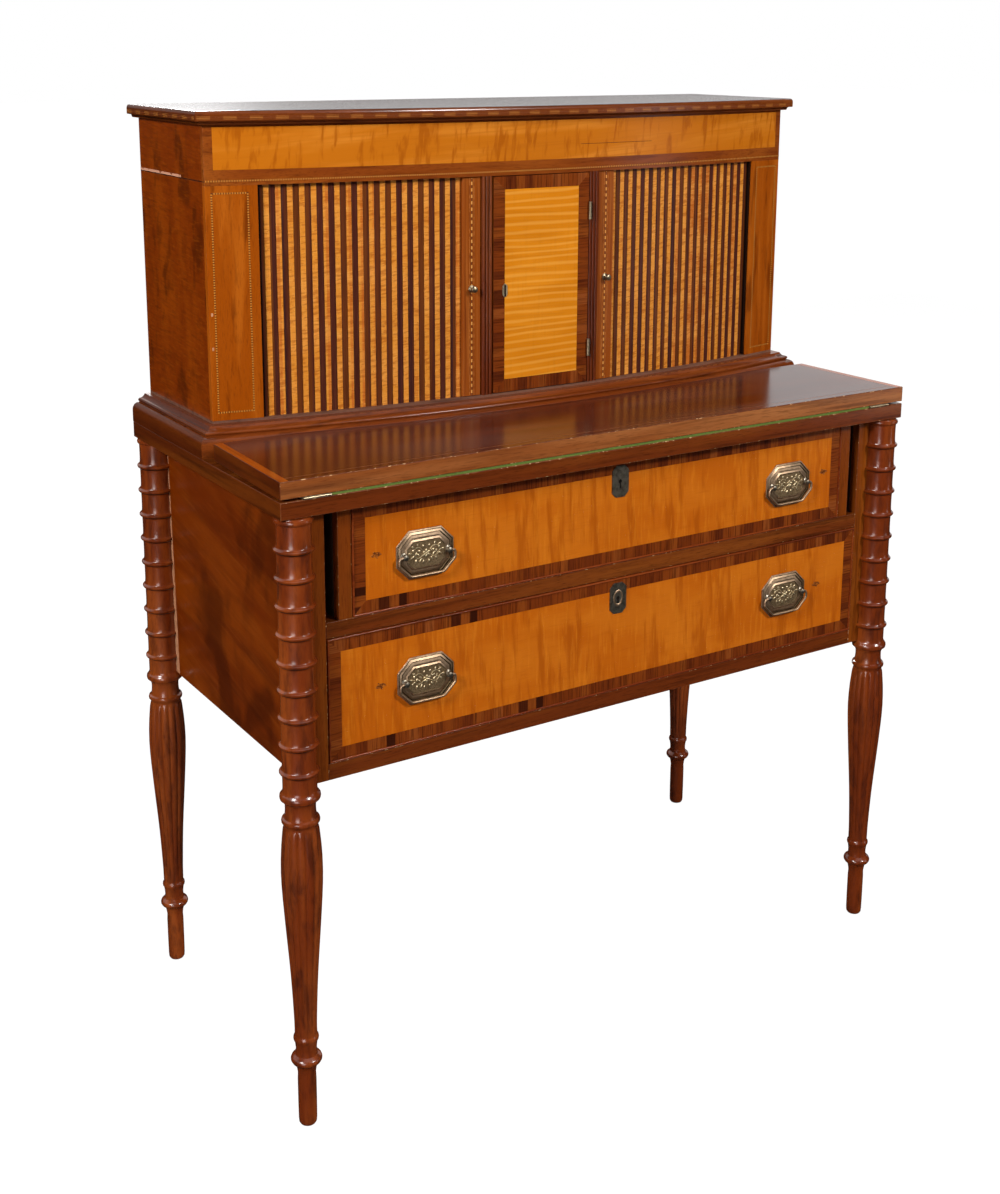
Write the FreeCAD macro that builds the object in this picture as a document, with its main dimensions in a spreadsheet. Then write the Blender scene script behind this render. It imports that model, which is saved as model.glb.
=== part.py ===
"""Tambour writing desk: four turned legs carry a case with two long drawers, a fold-over
writing leaf held by two lopers, and a bow-fronted upper case with a small door between two
sliding tambours.

The origin is on the floor under the middle of the desk. +Z is up, -Y is the front, X runs
along the width. Lengths are in millimetres.
"""
import FreeCAD, Part
import math
import os

import Sketcher

doc = FreeCAD.newDocument("TambourDesk")

# ---------------------------------------------------------------------------------------
# Driving dimensions
# ---------------------------------------------------------------------------------------
SIZES = {
    # fixed writing bed and fold-over leaf
    "bed_width": 928.0,
    "bed_depth": 445.0,
    "bed_thickness": 20.0,
    "leaf_thickness": 20.0,
    "leaf_side_taper": 6.0,
    "leaf_to_bed": 3.0,
    "leaf_to_plinth": 0.8,
    "baize_thickness": 1.4,
    "baize_side_border": 62.0,
    "baize_rear_border": 30.0,
    "baize_edge": 0.5,
    # lower case
    "rail_floor_height": 425.0,
    "side_floor_height": 425.0,
    "bottom_rail_height": 20.0,
    "lower_opening_height": 150.0,
    "middle_rail_height": 19.0,
    "upper_opening_height": 132.0,
    "rail_depth": 60.0,
    "front_setback": 18.0,
    "stile_thickness": 12.0,
    "corner_stile_width": 21.0,
    "loper_stile_width": 17.0,
    "loper_slot": 16.0,
    "side_inset": 33.0,
    "side_thickness": 14.0,
    "back_thickness": 12.0,
    "runner_thickness": 14.0,
    "runner_reach": 20.0,
    "guide_height": 20.0,
    "loper_guide_thickness": 13.0,
    # lopers
    "loper_rear_gap": 15.0,
    "loper_recess": 60.0,
    "loper_side_gap": 0.4,
    "loper_height_gap": 0.3,
    # turned legs
    "leg_side_inset": 22.0,
    "leg_front_inset": 15.0,
    "leg_flat": 17.0,
    "column_radius": 19.5,
    "bead_radius": 3.6,
    "bead_above_shoulder_bead": 30.0,
    "bead_below_bed": 37.0,
    "foot_radius": 10.8,
    "foot_end_radius": 8.5,
    "foot_end_height": 2.5,
    "cuff_above_ankle": 19.0,
    "cuff_radius": 18.3,
    "cuff_half_height": 5.0,
    "cuff_neck_radius": 12.4,
    "small_cuff_above_cuff": 27.0,
    "small_cuff_radius": 14.8,
    "small_cuff_half_height": 2.5,
    "reeds_above_small_cuff": 6.0,
    "reed_foot_radius": 13.2,
    "reed_foot_to_mid": 115.0,
    "reed_mid_radius": 18.2,
    "reed_hollow_curve": 1400.0,
    "reed_mid_to_belly": 87.0,
    "reed_belly_radius": 24.4,
    "reed_rise_curve": 700.0,
    "reed_belly_to_top": 60.0,
    "reed_top_radius": 20.2,
    "reed_shoulder_curve": 430.0,
    "collar_above_reeds": 7.0,
    "collar_radius": 22.0,
    "collar_half_height": 3.5,
    "neck_above_collar": 19.0,
    "neck_radius": 17.6,
    "shoulder_bead_above_neck": 11.0,
    "shoulder_bead_below_rail": 6.0,
    "shoulder_bead_radius": 23.4,
    "shoulder_bead_half_height": 5.0,
    "top_bead_radius": 2.0,
    # drawers
    "drawer_side_gap": 0.8,
    "drawer_top_gap": 1.0,
    "drawer_bottom_gap": 0.6,
    "drawer_runner_gap": 0.2,
    "drawer_front_thickness": 19.0,
    "drawer_side_thickness": 10.0,
    "drawer_rear_gap": 7.0,
    "drawer_side_drop": 8.0,
    "drawer_bottom_lift": 8.0,
    "drawer_bottom_thickness": 6.0,
    "veneer_thickness": 1.0,
    "cockbead_width": 2.2,
    "cockbead_proud": 1.5,
    "cockbead_depth": 8.0,
    "crossband_width": 14.5,
    # brass furniture
    "pull_from_corner_stile": 127.0,
    "upper_pull_above_opening": 61.0,
    "lower_pull_above_opening": 77.0,
    "plate_width": 77.0,
    "plate_height": 58.0,
    "plate_corner": 17.0,
    "plate_thickness": 2.0,
    "plate_step": 4.5,
    "plate_step_thickness": 1.6,
    "post_spacing": 54.0,
    "post_radius": 3.0,
    "post_length": 7.4,
    "bail_radius": 1.6,
    "bail_clearance": 0.06,
    "bail_side_gap": 0.3,
    "bail_behind_post_end": 2.8,
    "bail_drop": 21.0,
    "bail_shoulder": 8.0,
    "bail_corner": 13.0,
    "escutcheon_width": 25.0,
    "escutcheon_height": 40.0,
    "escutcheon_corner": 6.0,
    "escutcheon_drop": 27.0,
    "escutcheon_thickness": 1.0,
    "keyhole_radius": 2.6,
    "keyhole_slot": 2.4,
    "keyhole_length": 9.0,
    "lock_width": 44.0,
    "lock_height": 32.0,
    "lock_thickness": 8.0,
    # leaf hinges
    "leaf_hinge_from_end": 44.0,
    "leaf_hinge_width": 34.0,
    "leaf_hinge_depth": 25.0,
    "leaf_plate_thickness": 1.2,
    "leaf_pivot_proud": 0.3,
    "leaf_knuckle_radius": 1.4,
    "leaf_pin_radius": 0.7,
    "hinge_pin_clearance": 0.05,
    "hinge_knuckle_gap": 0.2,
    "hinge_plate_gap": 0.2,
    # upper case
    "bow_radius": 2100.0,
    "case_setback": 193.0,
    "case_inset": 25.0,
    "plinth_setback": 164.0,
    "plinth_band_height": 24.0,
    "plinth_step_height": 5.5,
    "plinth_step_in": 8.5,
    "floor_thickness": 9.0,
    "floor_above_plinth": 3.0,
    "case_opening_height": 278.0,
    "frieze_height": 70.0,
    "fascia_thickness": 7.0,
    "bow_blank_depth": 110.0,
    "case_side_thickness": 14.0,
    "case_back_thickness": 12.0,
    "soffit_thickness": 12.0,
    "top_bed_mould": 4.0,
    "top_bed_overhang": 6.0,
    "top_thickness": 12.0,
    "top_overhang": 13.0,
    "top_rear_overhang": 5.0,
    "pilaster_width": 61.0,
    # door and its dividers
    "door_half": 73.0,
    "door_edge_gap": 1.4,
    "door_height_gap": 1.0,
    "door_setback": 1.5,
    "door_thickness": 16.0,
    "door_band": 16.5,
    "divider_width": 15.2,
    "divider_depth": 18.0,
    "reed_radius": 2.5,
    "door_hinge_height": 22.5,
    "door_hinge_from_top": 50.0,
    "door_hinge_from_bottom": 47.0,
    "door_hinge_depth": 12.0,
    "door_plate_thickness": 0.6,
    "door_knuckle_radius": 2.2,
    "door_pin_radius": 1.1,
    "door_pivot_proud": 2.3,
    "door_escutcheon_width": 7.0,
    "door_escutcheon_flat": 1.6,
    "door_escutcheon_height": 17.0,
    "door_escutcheon_from_floor": 133.0,
    # tambours
    "lead_stile_from_divider": 1.2,
    "lead_stile_width": 25.0,
    "lead_stile_setback": 3.0,
    "lead_stile_depth": 12.0,
    "lead_stile_height_gap": 0.4,
    "slat_pitch": 7.28,
    "slats_short_of_corner": 15.0,
    "canvas_short_of_slats": 4.0,
    "slat_side_gap": 0.1,
    "slat_thickness": 5.0,
    "canvas_thickness": 0.8,
    "slat_behind_fascia": 0.6,
    "track_side_gap": 0.8,
    "track_depth": 4.0,
    "slat_end_gap": 1.0,
    "track_return": 150.0,
    "track_return_start": 36.5,
    "knob_radius": 4.2,
    "knob_neck_radius": 1.8,
    "knob_length": 10.0,
    "knob_rose_radius": 4.6,
    "knob_rose_thickness": 1.2,
    "knob_from_floor": 138.0,
    # inside of the upper case
    "partition_thickness": 8.0,
    "inner_wall_thickness": 5.0,
    "inner_wall_from_side": 26.0,
    "pigeonhole_setback": 22.0,
    "pigeonhole_board": 5.0,
    "shelf_above_floor": 130.0,
}

# How many times a piece repeats.
COLUMN_BEADS = 9
BAYS_ABOVE_SHELF = 3
REEDS_PER_DIVIDER = 3

sheet = doc.addObject("Spreadsheet::Sheet", "Sizes")
for row, (alias, number) in enumerate(SIZES.items(), start=1):
    sheet.set("A%d" % row, alias.replace("_", " "))
    sheet.set("B%d" % row, str(number))
    sheet.setAlias("B%d" % row, alias)
doc.recompute()


class Length:
    """A length with its value and the sheet expression that it comes from."""

    def __init__(self, value, text):
        self.value = value
        self.text = text

    def __add__(self, other):
        other = length(other)
        return Length(self.value + other.value, "%s + %s" % (self.text, other.text))

    def __sub__(self, other):
        other = length(other)
        return Length(self.value - other.value, "%s - (%s)" % (self.text, other.text))

    def __neg__(self):
        return Length(-self.value, "-(%s)" % self.text)

    def __mul__(self, factor):
        return Length(self.value * factor, "(%s) * %r" % (self.text, factor))

    def __truediv__(self, divisor):
        return self * (1.0 / divisor)


def length(number):
    """A plain number as a Length; a Length stays as it is."""
    if isinstance(number, Length):
        return number
    return Length(float(number), "(%r)" % float(number))


def size(alias):
    """One driving dimension from the sheet."""
    return Length(SIZES[alias], "Sizes.%s" % alias)


def bind(thing, path, amount):
    """Set one property of an object from the sheet."""
    thing.setExpression(path, length(amount).text)


# ---------------------------------------------------------------------------------------
# Ways of making a piece
# ---------------------------------------------------------------------------------------
def board(name, low, high):
    """A square-cut board between two corners."""
    box = doc.addObject("Part::Box", name)
    for side, start, end in zip(("Length", "Width", "Height"), low, high):
        bind(box, side, length(end) - length(start))
    for axis, start in zip("xyz", low):
        bind(box, "Placement.Base." + axis, start)
    return box


def rod(name, radius, low, high, axis="z"):
    """A round rod from one end point, along X, Y or Z to the other."""
    cylinder = doc.addObject("Part::Cylinder", name)
    bind(cylinder, "Radius", radius)
    along = "xyz".index(axis)
    bind(cylinder, "Height", length(high[along]) - length(low[along]))
    turns = {"x": ((0, 1, 0), 90), "y": ((1, 0, 0), -90), "z": ((0, 0, 1), 0)}
    direction, angle = turns[axis]
    cylinder.Placement.Rotation = FreeCAD.Rotation(FreeCAD.Vector(*direction), angle)
    for letter, start in zip("xyz", low):
        bind(cylinder, "Placement.Base." + letter, start)
    return cylinder


def cut(name, base, tool):
    """The base with the tool taken away."""
    result = doc.addObject("Part::Cut", name)
    result.Base = base
    result.Tool = tool
    return result


def fuse(name, *shapes):
    """Several shapes joined to one solid."""
    result = doc.addObject("Part::MultiFuse", name)
    result.Shapes = list(shapes)
    result.Refine = True
    return result


def common(name, first, second):
    """What two shapes share."""
    result = doc.addObject("Part::Common", name)
    result.Base = first
    result.Tool = second
    return result


def group(name, *solids):
    """Separate solids that go by one name."""
    result = doc.addObject("Part::Compound", name)
    result.Links = list(solids)
    return result


def mirror(name, source, normal=(1, 0, 0)):
    """The same piece on the other side of the desk."""
    result = doc.addObject("Part::Mirroring", name)
    result.Source = source
    result.Normal = FreeCAD.Vector(*normal)
    return result


def pair(name, right):
    """A piece and its mirror image as one group."""
    return group(name, right, mirror(name + "_twin", right))


def plane_of(body, role):
    """One of a body's own origin planes."""
    return [plane for plane in body.Origin.OriginFeatures if plane.Role == role][0]


def outline(body, name, role, corners, offset=0.0):
    """A closed sketch through the given corners, each fixed by its own two lengths.

    A third length at a corner is the radius of the arc that starts there. The arc bulges to
    the right of the way it runs where that radius is positive.
    """
    curves = {number: corner[2] for number, corner in enumerate(corners) if len(corner) > 2}
    corners = [corner[:2] for corner in corners]
    sketch = body.newObject("Sketcher::SketchObject", name)
    sketch.AttachmentSupport = [(plane_of(body, role), "")]
    sketch.MapMode = "FlatFace"
    bind(sketch, "AttachmentOffset.Base.z", offset)
    points = [FreeCAD.Vector(length(u).value, length(v).value, 0) for u, v in corners]
    ends = []
    for number, start in enumerate(points):
        end = points[(number + 1) % len(points)]
        if number not in curves:
            index = sketch.addGeometry(Part.LineSegment(start, end), False)
            ends.append((index, 1, 2))
            continue
        radius = length(curves[number]).value
        chord = end - start
        rise = abs(radius) - math.sqrt(radius * radius - chord.Length * chord.Length / 4)
        side = FreeCAD.Vector(chord.y, -chord.x, 0).normalize() * math.copysign(rise, radius)
        arc = Part.Arc(start, (start + end) / 2 + side, end)
        index = sketch.addGeometry(arc, False)
        first = 1 if (sketch.getPoint(index, 1) - start).Length < 1e-6 else 2
        ends.append((index, first, 3 - first))
    for number, (index, first, last) in enumerate(ends):
        following = ends[(number + 1) % len(ends)]
        sketch.addConstraint(Sketcher.Constraint("Coincident", index, last, following[0], following[1]))
    for number, (u, v) in enumerate(corners):
        index, first, _ = ends[number]
        for kind, amount, axis in (("DistanceX", u, -2), ("DistanceY", v, -1)):
            amount = length(amount)
            if abs(amount.value) < 1e-9:
                sketch.addConstraint(Sketcher.Constraint("PointOnObject", index, first, axis))
                continue
            made = sketch.addConstraint(Sketcher.Constraint(kind, -1, 1, index, first, amount.value))
            bind(sketch, "Constraints[%d]" % made, amount)
    for number, radius in curves.items():
        radius = length(radius)
        plain = radius if radius.value > 0 else -radius
        made = sketch.addConstraint(Sketcher.Constraint("Radius", ends[number][0], plain.value))
        bind(sketch, "Constraints[%d]" % made, plain)
    return sketch


def slab(name, role, corners, start, thickness):
    """A flat piece of any outline: XY gives height along Z, XZ gives depth along +Y."""
    body = doc.addObject("PartDesign::Body", name)
    offset = start if role == "XY_Plane" else -length(start)
    sketch = outline(body, name + "_outline", role, corners, offset)
    pad = body.newObject("PartDesign::Pad", name + "_pad")
    pad.Profile = sketch
    bind(pad, "Length", thickness)
    pad.Reversed = role == "XZ_Plane"
    return body


def turning(name, corners):
    """A piece turned about the Z axis; each corner is a radius and a height."""
    body = doc.addObject("PartDesign::Body", name)
    sketch = outline(body, name + "_profile", "XZ_Plane", corners)
    turned = body.newObject("PartDesign::Revolution", name + "_turned")
    turned.Profile = sketch
    turned.ReferenceAxis = (sketch, ["V_Axis"])
    turned.Angle = 360
    return body


# ---------------------------------------------------------------------------------------
# Levels and planes that pieces share
# ---------------------------------------------------------------------------------------
bed_half = size("bed_width") / 2
front = -(size("bed_depth") / 2)
back = size("bed_depth") / 2
bottom_rail_top = size("rail_floor_height") + size("bottom_rail_height")
middle_rail_bottom = bottom_rail_top + size("lower_opening_height")
middle_rail_top = middle_rail_bottom + size("middle_rail_height")
case_top = middle_rail_top + size("upper_opening_height")
bed_top = case_top + size("bed_thickness")
leaf_bottom = bed_top + size("leaf_to_bed")
leaf_top = leaf_bottom + size("leaf_thickness")

rail_front = front + size("front_setback")
rail_back = rail_front + size("rail_depth")
stile_back = rail_front + size("stile_thickness")
leg_x = bed_half - size("leg_side_inset")
leg_y = back - size("leg_front_inset")
side_outer = bed_half - size("side_inset")
side_inner = side_outer - size("side_thickness")
flat_x = leg_x - size("leg_flat")
flat_y = leg_y - size("leg_flat")
side_end = -stile_back
back_front = -rail_front - size("back_thickness")

slot_outer = flat_x - size("corner_stile_width")
slot_inner = slot_outer - size("loper_slot")
upper_opening_half = slot_inner - size("loper_stile_width")

case_half = bed_half - size("case_inset")
opening_half = case_half - size("pilaster_width")
plinth_front = front + size("plinth_setback")
plinth_top = bed_top + size("plinth_band_height") + size("plinth_step_height") * 2
floor_top = plinth_top + size("floor_above_plinth")
opening_top = floor_top + size("case_opening_height")
frieze_top = opening_top + size("frieze_height")
case_front = front + size("case_setback")
bow_centre = case_front + size("bow_radius")
fascia_back = case_front + size("fascia_thickness")
case_inner = case_half - size("case_side_thickness")
case_back_front = back - size("case_back_thickness")

# ---------------------------------------------------------------------------------------
# Legs: a beaded column beside the case, a reeded vase below it, a cuff and a peg foot
# ---------------------------------------------------------------------------------------
shoulder_bead_height = size("rail_floor_height") - size("shoulder_bead_below_rail")
neck_height = shoulder_bead_height - size("shoulder_bead_above_neck")
collar_height = neck_height - size("neck_above_collar")
reed_top_height = collar_height - size("collar_above_reeds")
reed_belly_height = reed_top_height - size("reed_belly_to_top")
reed_mid_height = reed_belly_height - size("reed_mid_to_belly")
reed_foot_height = reed_mid_height - size("reed_foot_to_mid")
small_cuff_height = reed_foot_height - size("reeds_above_small_cuff")
cuff_height = small_cuff_height - size("small_cuff_above_cuff")
ankle_height = cuff_height - size("cuff_above_ankle")

leg_outline = [
    (0, 0),
    (size("foot_end_radius"), 0),
    (size("foot_radius"), size("foot_end_height")),
    (size("foot_radius"), ankle_height),
    (size("cuff_neck_radius"), cuff_height - size("cuff_half_height")),
    (size("cuff_radius"), cuff_height - size("cuff_half_height") / 2),
    (size("cuff_radius"), cuff_height + size("cuff_half_height") / 2),
    (size("cuff_neck_radius"), cuff_height + size("cuff_half_height")),
    (size("cuff_neck_radius"), small_cuff_height - size("small_cuff_half_height")),
    (size("small_cuff_radius"), small_cuff_height),
    (size("reed_foot_radius"), reed_foot_height, -size("reed_hollow_curve")),
    (size("reed_mid_radius"), reed_mid_height, size("reed_rise_curve")),
    (size("reed_belly_radius"), reed_belly_height, size("reed_shoulder_curve")),
    (size("reed_top_radius"), reed_top_height),
    (size("reed_top_radius"), collar_height - size("collar_half_height")),
    (size("collar_radius"), collar_height),
    (size("neck_radius"), collar_height + size("collar_half_height")),
    (size("neck_radius"), neck_height),
    (size("column_radius"), shoulder_bead_height - size("shoulder_bead_half_height")),
    (size("shoulder_bead_radius"), shoulder_bead_height),
    (size("column_radius"), shoulder_bead_height + size("shoulder_bead_half_height")),
    (size("column_radius"), case_top),
    (0, case_top),
]
leg_turning = turning("leg_turning", leg_outline)
bind(leg_turning, "Placement.Base.x", -leg_x)
bind(leg_turning, "Placement.Base.y", -leg_y)


def column_bead(name, radius, height):
    """A half-round bead turned on a column."""
    ring = doc.addObject("Part::Torus", name)
    bind(ring, "Radius1", size("column_radius"))
    bind(ring, "Radius2", radius)
    bind(ring, "Placement.Base.x", -leg_x)
    bind(ring, "Placement.Base.y", -leg_y)
    bind(ring, "Placement.Base.z", height)
    return ring


lowest_bead = shoulder_bead_height + size("bead_above_shoulder_bead")
highest_bead = case_top - size("bead_below_bed")
bead_pitch = (highest_bead - lowest_bead) / (COLUMN_BEADS - 1)
beads = [
    column_bead("column_bead_%d" % number, size("bead_radius"), lowest_bead + bead_pitch * number)
    for number in range(COLUMN_BEADS)
]
beads.append(column_bead("top_bead", size("top_bead_radius"), case_top - size("top_bead_radius")))
leg_round = fuse("leg_round", leg_turning, *beads)

# Two flats let the case into the leg: one for the front stile or back, one for the side.
leg_reach = size("column_radius") * 2
flat_for_stile = board(
    "flat_for_stile",
    (-flat_x, rail_front, size("rail_floor_height")),
    (-leg_x + leg_reach, -leg_y + leg_reach, case_top),
)
flat_for_side = board(
    "flat_for_side",
    (-side_outer, -side_end, size("rail_floor_height")),
    (-leg_x + leg_reach, -leg_y + leg_reach, case_top),
)
leg_front_left = cut("leg_front_left", leg_round, fuse("leg_flats", flat_for_stile, flat_for_side))
leg_front_right = mirror("leg_front_right", leg_front_left)
leg_rear_left = mirror("leg_rear_left", leg_front_left, (0, 1, 0))
leg_rear_right = mirror("leg_rear_right", leg_rear_left)

# ---------------------------------------------------------------------------------------
# Lower case
# ---------------------------------------------------------------------------------------
lower_side_right = board(
    "lower_side_right",
    (side_inner, -side_end, size("side_floor_height")),
    (side_outer, side_end, case_top),
)
lower_side_left = mirror("lower_side_left", lower_side_right)
lower_back = board(
    "lower_back",
    (-flat_x, back_front, bottom_rail_top - size("runner_thickness")),
    (flat_x, -rail_front, case_top),
)
bottom_rail = board(
    "bottom_rail",
    (-slot_outer, rail_front, size("rail_floor_height")),
    (slot_outer, rail_back, bottom_rail_top),
)
middle_rail = board(
    "middle_rail",
    (-slot_outer, rail_front, middle_rail_bottom),
    (slot_outer, rail_back, middle_rail_top),
)
corner_stile = board(
    "corner_stile",
    (slot_outer, rail_front, size("rail_floor_height")),
    (flat_x, stile_back, case_top),
)
loper_stile = board(
    "loper_stile",
    (upper_opening_half, rail_front, middle_rail_top),
    (slot_inner, stile_back, case_top),
)
front_stiles = group(
    "front_stiles",
    corner_stile,
    mirror("corner_stile_twin", corner_stile),
    loper_stile,
    mirror("loper_stile_twin", loper_stile),
)

# Runners carry the drawer sides; the blocks on the lower ones keep that drawer straight.
lower_runner = fuse(
    "lower_runner",
    board(
        "lower_runner_board",
        (
            slot_outer - size("runner_reach"),
            rail_back,
            bottom_rail_top - size("runner_thickness"),
        ),
        (side_inner, flat_y, bottom_rail_top),
    ),
    board(
        "lower_runner_guide",
        (slot_outer, rail_back, bottom_rail_top - size("runner_thickness")),
        (side_inner, flat_y, bottom_rail_top + size("guide_height")),
    ),
)
upper_runner = board(
    "upper_runner",
    (
        upper_opening_half - size("runner_reach"),
        rail_back,
        middle_rail_top - size("runner_thickness"),
    ),
    (side_inner, flat_y, middle_rail_top),
)
drawer_runners = group(
    "drawer_runners",
    lower_runner,
    mirror("lower_runner_twin", lower_runner),
    upper_runner,
    mirror("upper_runner_twin", upper_runner),
)

# Two boards each side make the slot that a loper slides in.
inner_loper_guide = board(
    "inner_loper_guide",
    (upper_opening_half, stile_back, middle_rail_top),
    (slot_inner, flat_y, case_top),
)
outer_loper_guide = board(
    "outer_loper_guide",
    (slot_outer, stile_back, middle_rail_top),
    (slot_outer + size("loper_guide_thickness"), flat_y, case_top),
)
loper_guides = group(
    "loper_guides",
    inner_loper_guide,
    mirror("inner_loper_guide_twin", inner_loper_guide),
    outer_loper_guide,
    mirror("outer_loper_guide_twin", outer_loper_guide),
)
loper_front = rail_front + size("loper_recess")
loper_right = board(
    "loper_right",
    (
        slot_inner + size("loper_side_gap"),
        loper_front,
        middle_rail_top + size("loper_height_gap"),
    ),
    (
        slot_outer - size("loper_side_gap"),
        flat_y - size("loper_rear_gap"),
        case_top - size("loper_height_gap"),
    ),
)
loper_left = mirror("loper_left", loper_right)

# ---------------------------------------------------------------------------------------
# Writing bed and fold-over leaf
# ---------------------------------------------------------------------------------------
def bow(name, apex, low, high):
    """The space behind the bowed front line whose middle is at the given depth."""
    return rod(name, bow_centre - length(apex), (0, bow_centre, low), (0, bow_centre, high))


def bowed_board(name, half_width, apex, rear, low, high):
    """A board across the desk with a bowed front edge."""
    blank_front = length(apex) - size("fascia_thickness")
    blank = board(name + "_blank", (-length(half_width), blank_front, low), (half_width, rear, high))
    return common(name, blank, bow(name + "_bow", apex, low, high))


def bowed_strip(name, start, end, apex, thickness, low, high):
    """A strip of even thickness that follows the bow between two distances from the middle."""
    rear = length(apex) + size("bow_blank_depth")
    blank_front = length(apex) - size("fascia_thickness")
    blank = board(name + "_blank", (start, blank_front, low), (end, rear, high))
    curved = common(name + "_curved", blank, bow(name + "_bow", apex, low, high))
    inner = bow(name + "_inner_bow", length(apex) + thickness, low, high)
    return cut(name, curved, inner)


writing_bed = board("writing_bed", (-bed_half, front, case_top), (bed_half, back, bed_top))

leaf_rear_half = bed_half - size("leaf_side_taper")
leaf_rear = case_front
leaf_blank = slab(
    "leaf_blank",
    "XY_Plane",
    [(-bed_half, front), (bed_half, front), (leaf_rear_half, leaf_rear), (-leaf_rear_half, leaf_rear)],
    leaf_bottom,
    size("leaf_thickness"),
)
leaf_hollow = bow("leaf_hollow", plinth_front - size("leaf_to_plinth"), leaf_bottom, leaf_top)
writing_leaf = cut("writing_leaf", leaf_blank, leaf_hollow)

baize_half = bed_half - size("baize_side_border")
baize_front = front + size("baize_edge")
baize_rear = plinth_front - size("baize_rear_border")
bed_baize = board(
    "bed_baize",
    (-baize_half, baize_front, bed_top),
    (baize_half, baize_rear, bed_top + size("baize_thickness")),
)
leaf_baize = board(
    "leaf_baize",
    (-baize_half, baize_front, leaf_bottom - size("baize_thickness")),
    (baize_half, baize_rear, leaf_bottom),
)

# Leaf hinges: flat brass plates in the seam with a fine knuckle just proud of the edge.
leaf_pivot_y = front - size("leaf_pivot_proud")
leaf_pivot_z = bed_top + size("leaf_to_bed") / 2
hinge_middle = bed_half - size("leaf_hinge_from_end")
hinge_left = hinge_middle - size("leaf_hinge_width") / 2
hinge_right = hinge_middle + size("leaf_hinge_width") / 2
knuckle_third = size("leaf_hinge_width") / 3
leaf_plate_front = leaf_pivot_y + size("leaf_knuckle_radius") + size("hinge_plate_gap")
leaf_plate_back = leaf_plate_front + size("leaf_hinge_depth")


def leaf_knuckle(name, start, end, low, high):
    """One knuckle of a leaf hinge and the tab that joins it to its plate."""
    barrel = rod(
        name + "_barrel",
        size("leaf_knuckle_radius"),
        (start, leaf_pivot_y, leaf_pivot_z),
        (end, leaf_pivot_y, leaf_pivot_z),
        "x",
    )
    tab = board(name + "_tab", (start, leaf_pivot_y, low), (end, leaf_plate_front, high))
    return [barrel, tab]


def leaf_bore(name):
    """The hole through a leaf hinge's knuckles."""
    return rod(
        name,
        size("leaf_pin_radius") + size("hinge_pin_clearance"),
        (hinge_left, leaf_pivot_y, leaf_pivot_z),
        (hinge_right, leaf_pivot_y, leaf_pivot_z),
        "x",
    )


bed_plate_top = bed_top + size("leaf_plate_thickness")
leaf_plate_bottom = leaf_bottom - size("leaf_plate_thickness")
bed_plate = board(
    "bed_plate", (hinge_left, leaf_plate_front, bed_top), (hinge_right, leaf_plate_back, bed_plate_top)
)
bed_knuckles = leaf_knuckle(
    "bed_knuckle_inner", hinge_left, hinge_left + knuckle_third, bed_top, bed_plate_top
) + leaf_knuckle(
    "bed_knuckle_outer", hinge_right - knuckle_third, hinge_right, bed_top, bed_plate_top
)
bed_hinge = cut("bed_hinge", fuse("bed_hinge_solid", bed_plate, *bed_knuckles), leaf_bore("bed_bore"))
leaf_pin = rod(
    "leaf_pin",
    size("leaf_pin_radius"),
    (hinge_left, leaf_pivot_y, leaf_pivot_z),
    (hinge_right, leaf_pivot_y, leaf_pivot_z),
    "x",
)
leaf_hinge_bed_plates = group(
    "leaf_hinge_bed_plates",
    bed_hinge,
    mirror("bed_hinge_twin", bed_hinge),
    leaf_pin,
    mirror("leaf_pin_twin", leaf_pin),
)
leaf_plate = board(
    "leaf_plate",
    (hinge_left, leaf_plate_front, leaf_plate_bottom),
    (hinge_right, leaf_plate_back, leaf_bottom),
)
middle_knuckle = leaf_knuckle(
    "leaf_knuckle_middle",
    hinge_left + knuckle_third + size("hinge_knuckle_gap"),
    hinge_right - knuckle_third - size("hinge_knuckle_gap"),
    leaf_plate_bottom,
    leaf_bottom,
)
leaf_hinge = cut("leaf_hinge", fuse("leaf_hinge_solid", leaf_plate, *middle_knuckle), leaf_bore("leaf_bore"))
leaf_hinge_leaf_plates = pair("leaf_hinge_leaf_plates", leaf_hinge)

# ---------------------------------------------------------------------------------------
# Drawers
# ---------------------------------------------------------------------------------------
def frame(name, half_width, low, high, width, face, depth):
    """A square frame of even width, such as a bead round a drawer front."""
    outer = board(name + "_outer", (-length(half_width), face, low), (half_width, length(face) + depth, high))
    inner = board(
        name + "_inner",
        (-length(half_width) + width, face, length(low) + width),
        (length(half_width) - width, length(face) + depth, length(high) - width),
    )
    return cut(name, outer, inner)


def veneered_face(name, half_width, low, high, band, face):
    """A light field inside four crossbands, mitred at the corners, all one veneer thick."""
    thickness = size("veneer_thickness")
    half_width, low, high = length(half_width), length(low), length(high)
    inner = half_width - band
    inner_low = low + band
    inner_high = high - band
    field = board(name + "_field", (-inner, face, inner_low), (inner, length(face) + thickness, inner_high))
    bands = {
        "_top": [(-inner, inner_high), (inner, inner_high), (half_width, high), (-half_width, high)],
        "_bottom": [(-half_width, low), (half_width, low), (inner, inner_low), (-inner, inner_low)],
        "_right": [(inner, inner_low), (half_width, low), (half_width, high), (inner, inner_high)],
        "_left": [(-half_width, low), (-inner, inner_low), (-inner, inner_high), (-half_width, high)],
    }
    strips = [slab(name + side, "XZ_Plane", corners, face, thickness) for side, corners in bands.items()]
    return group(name, field, *strips)


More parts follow.
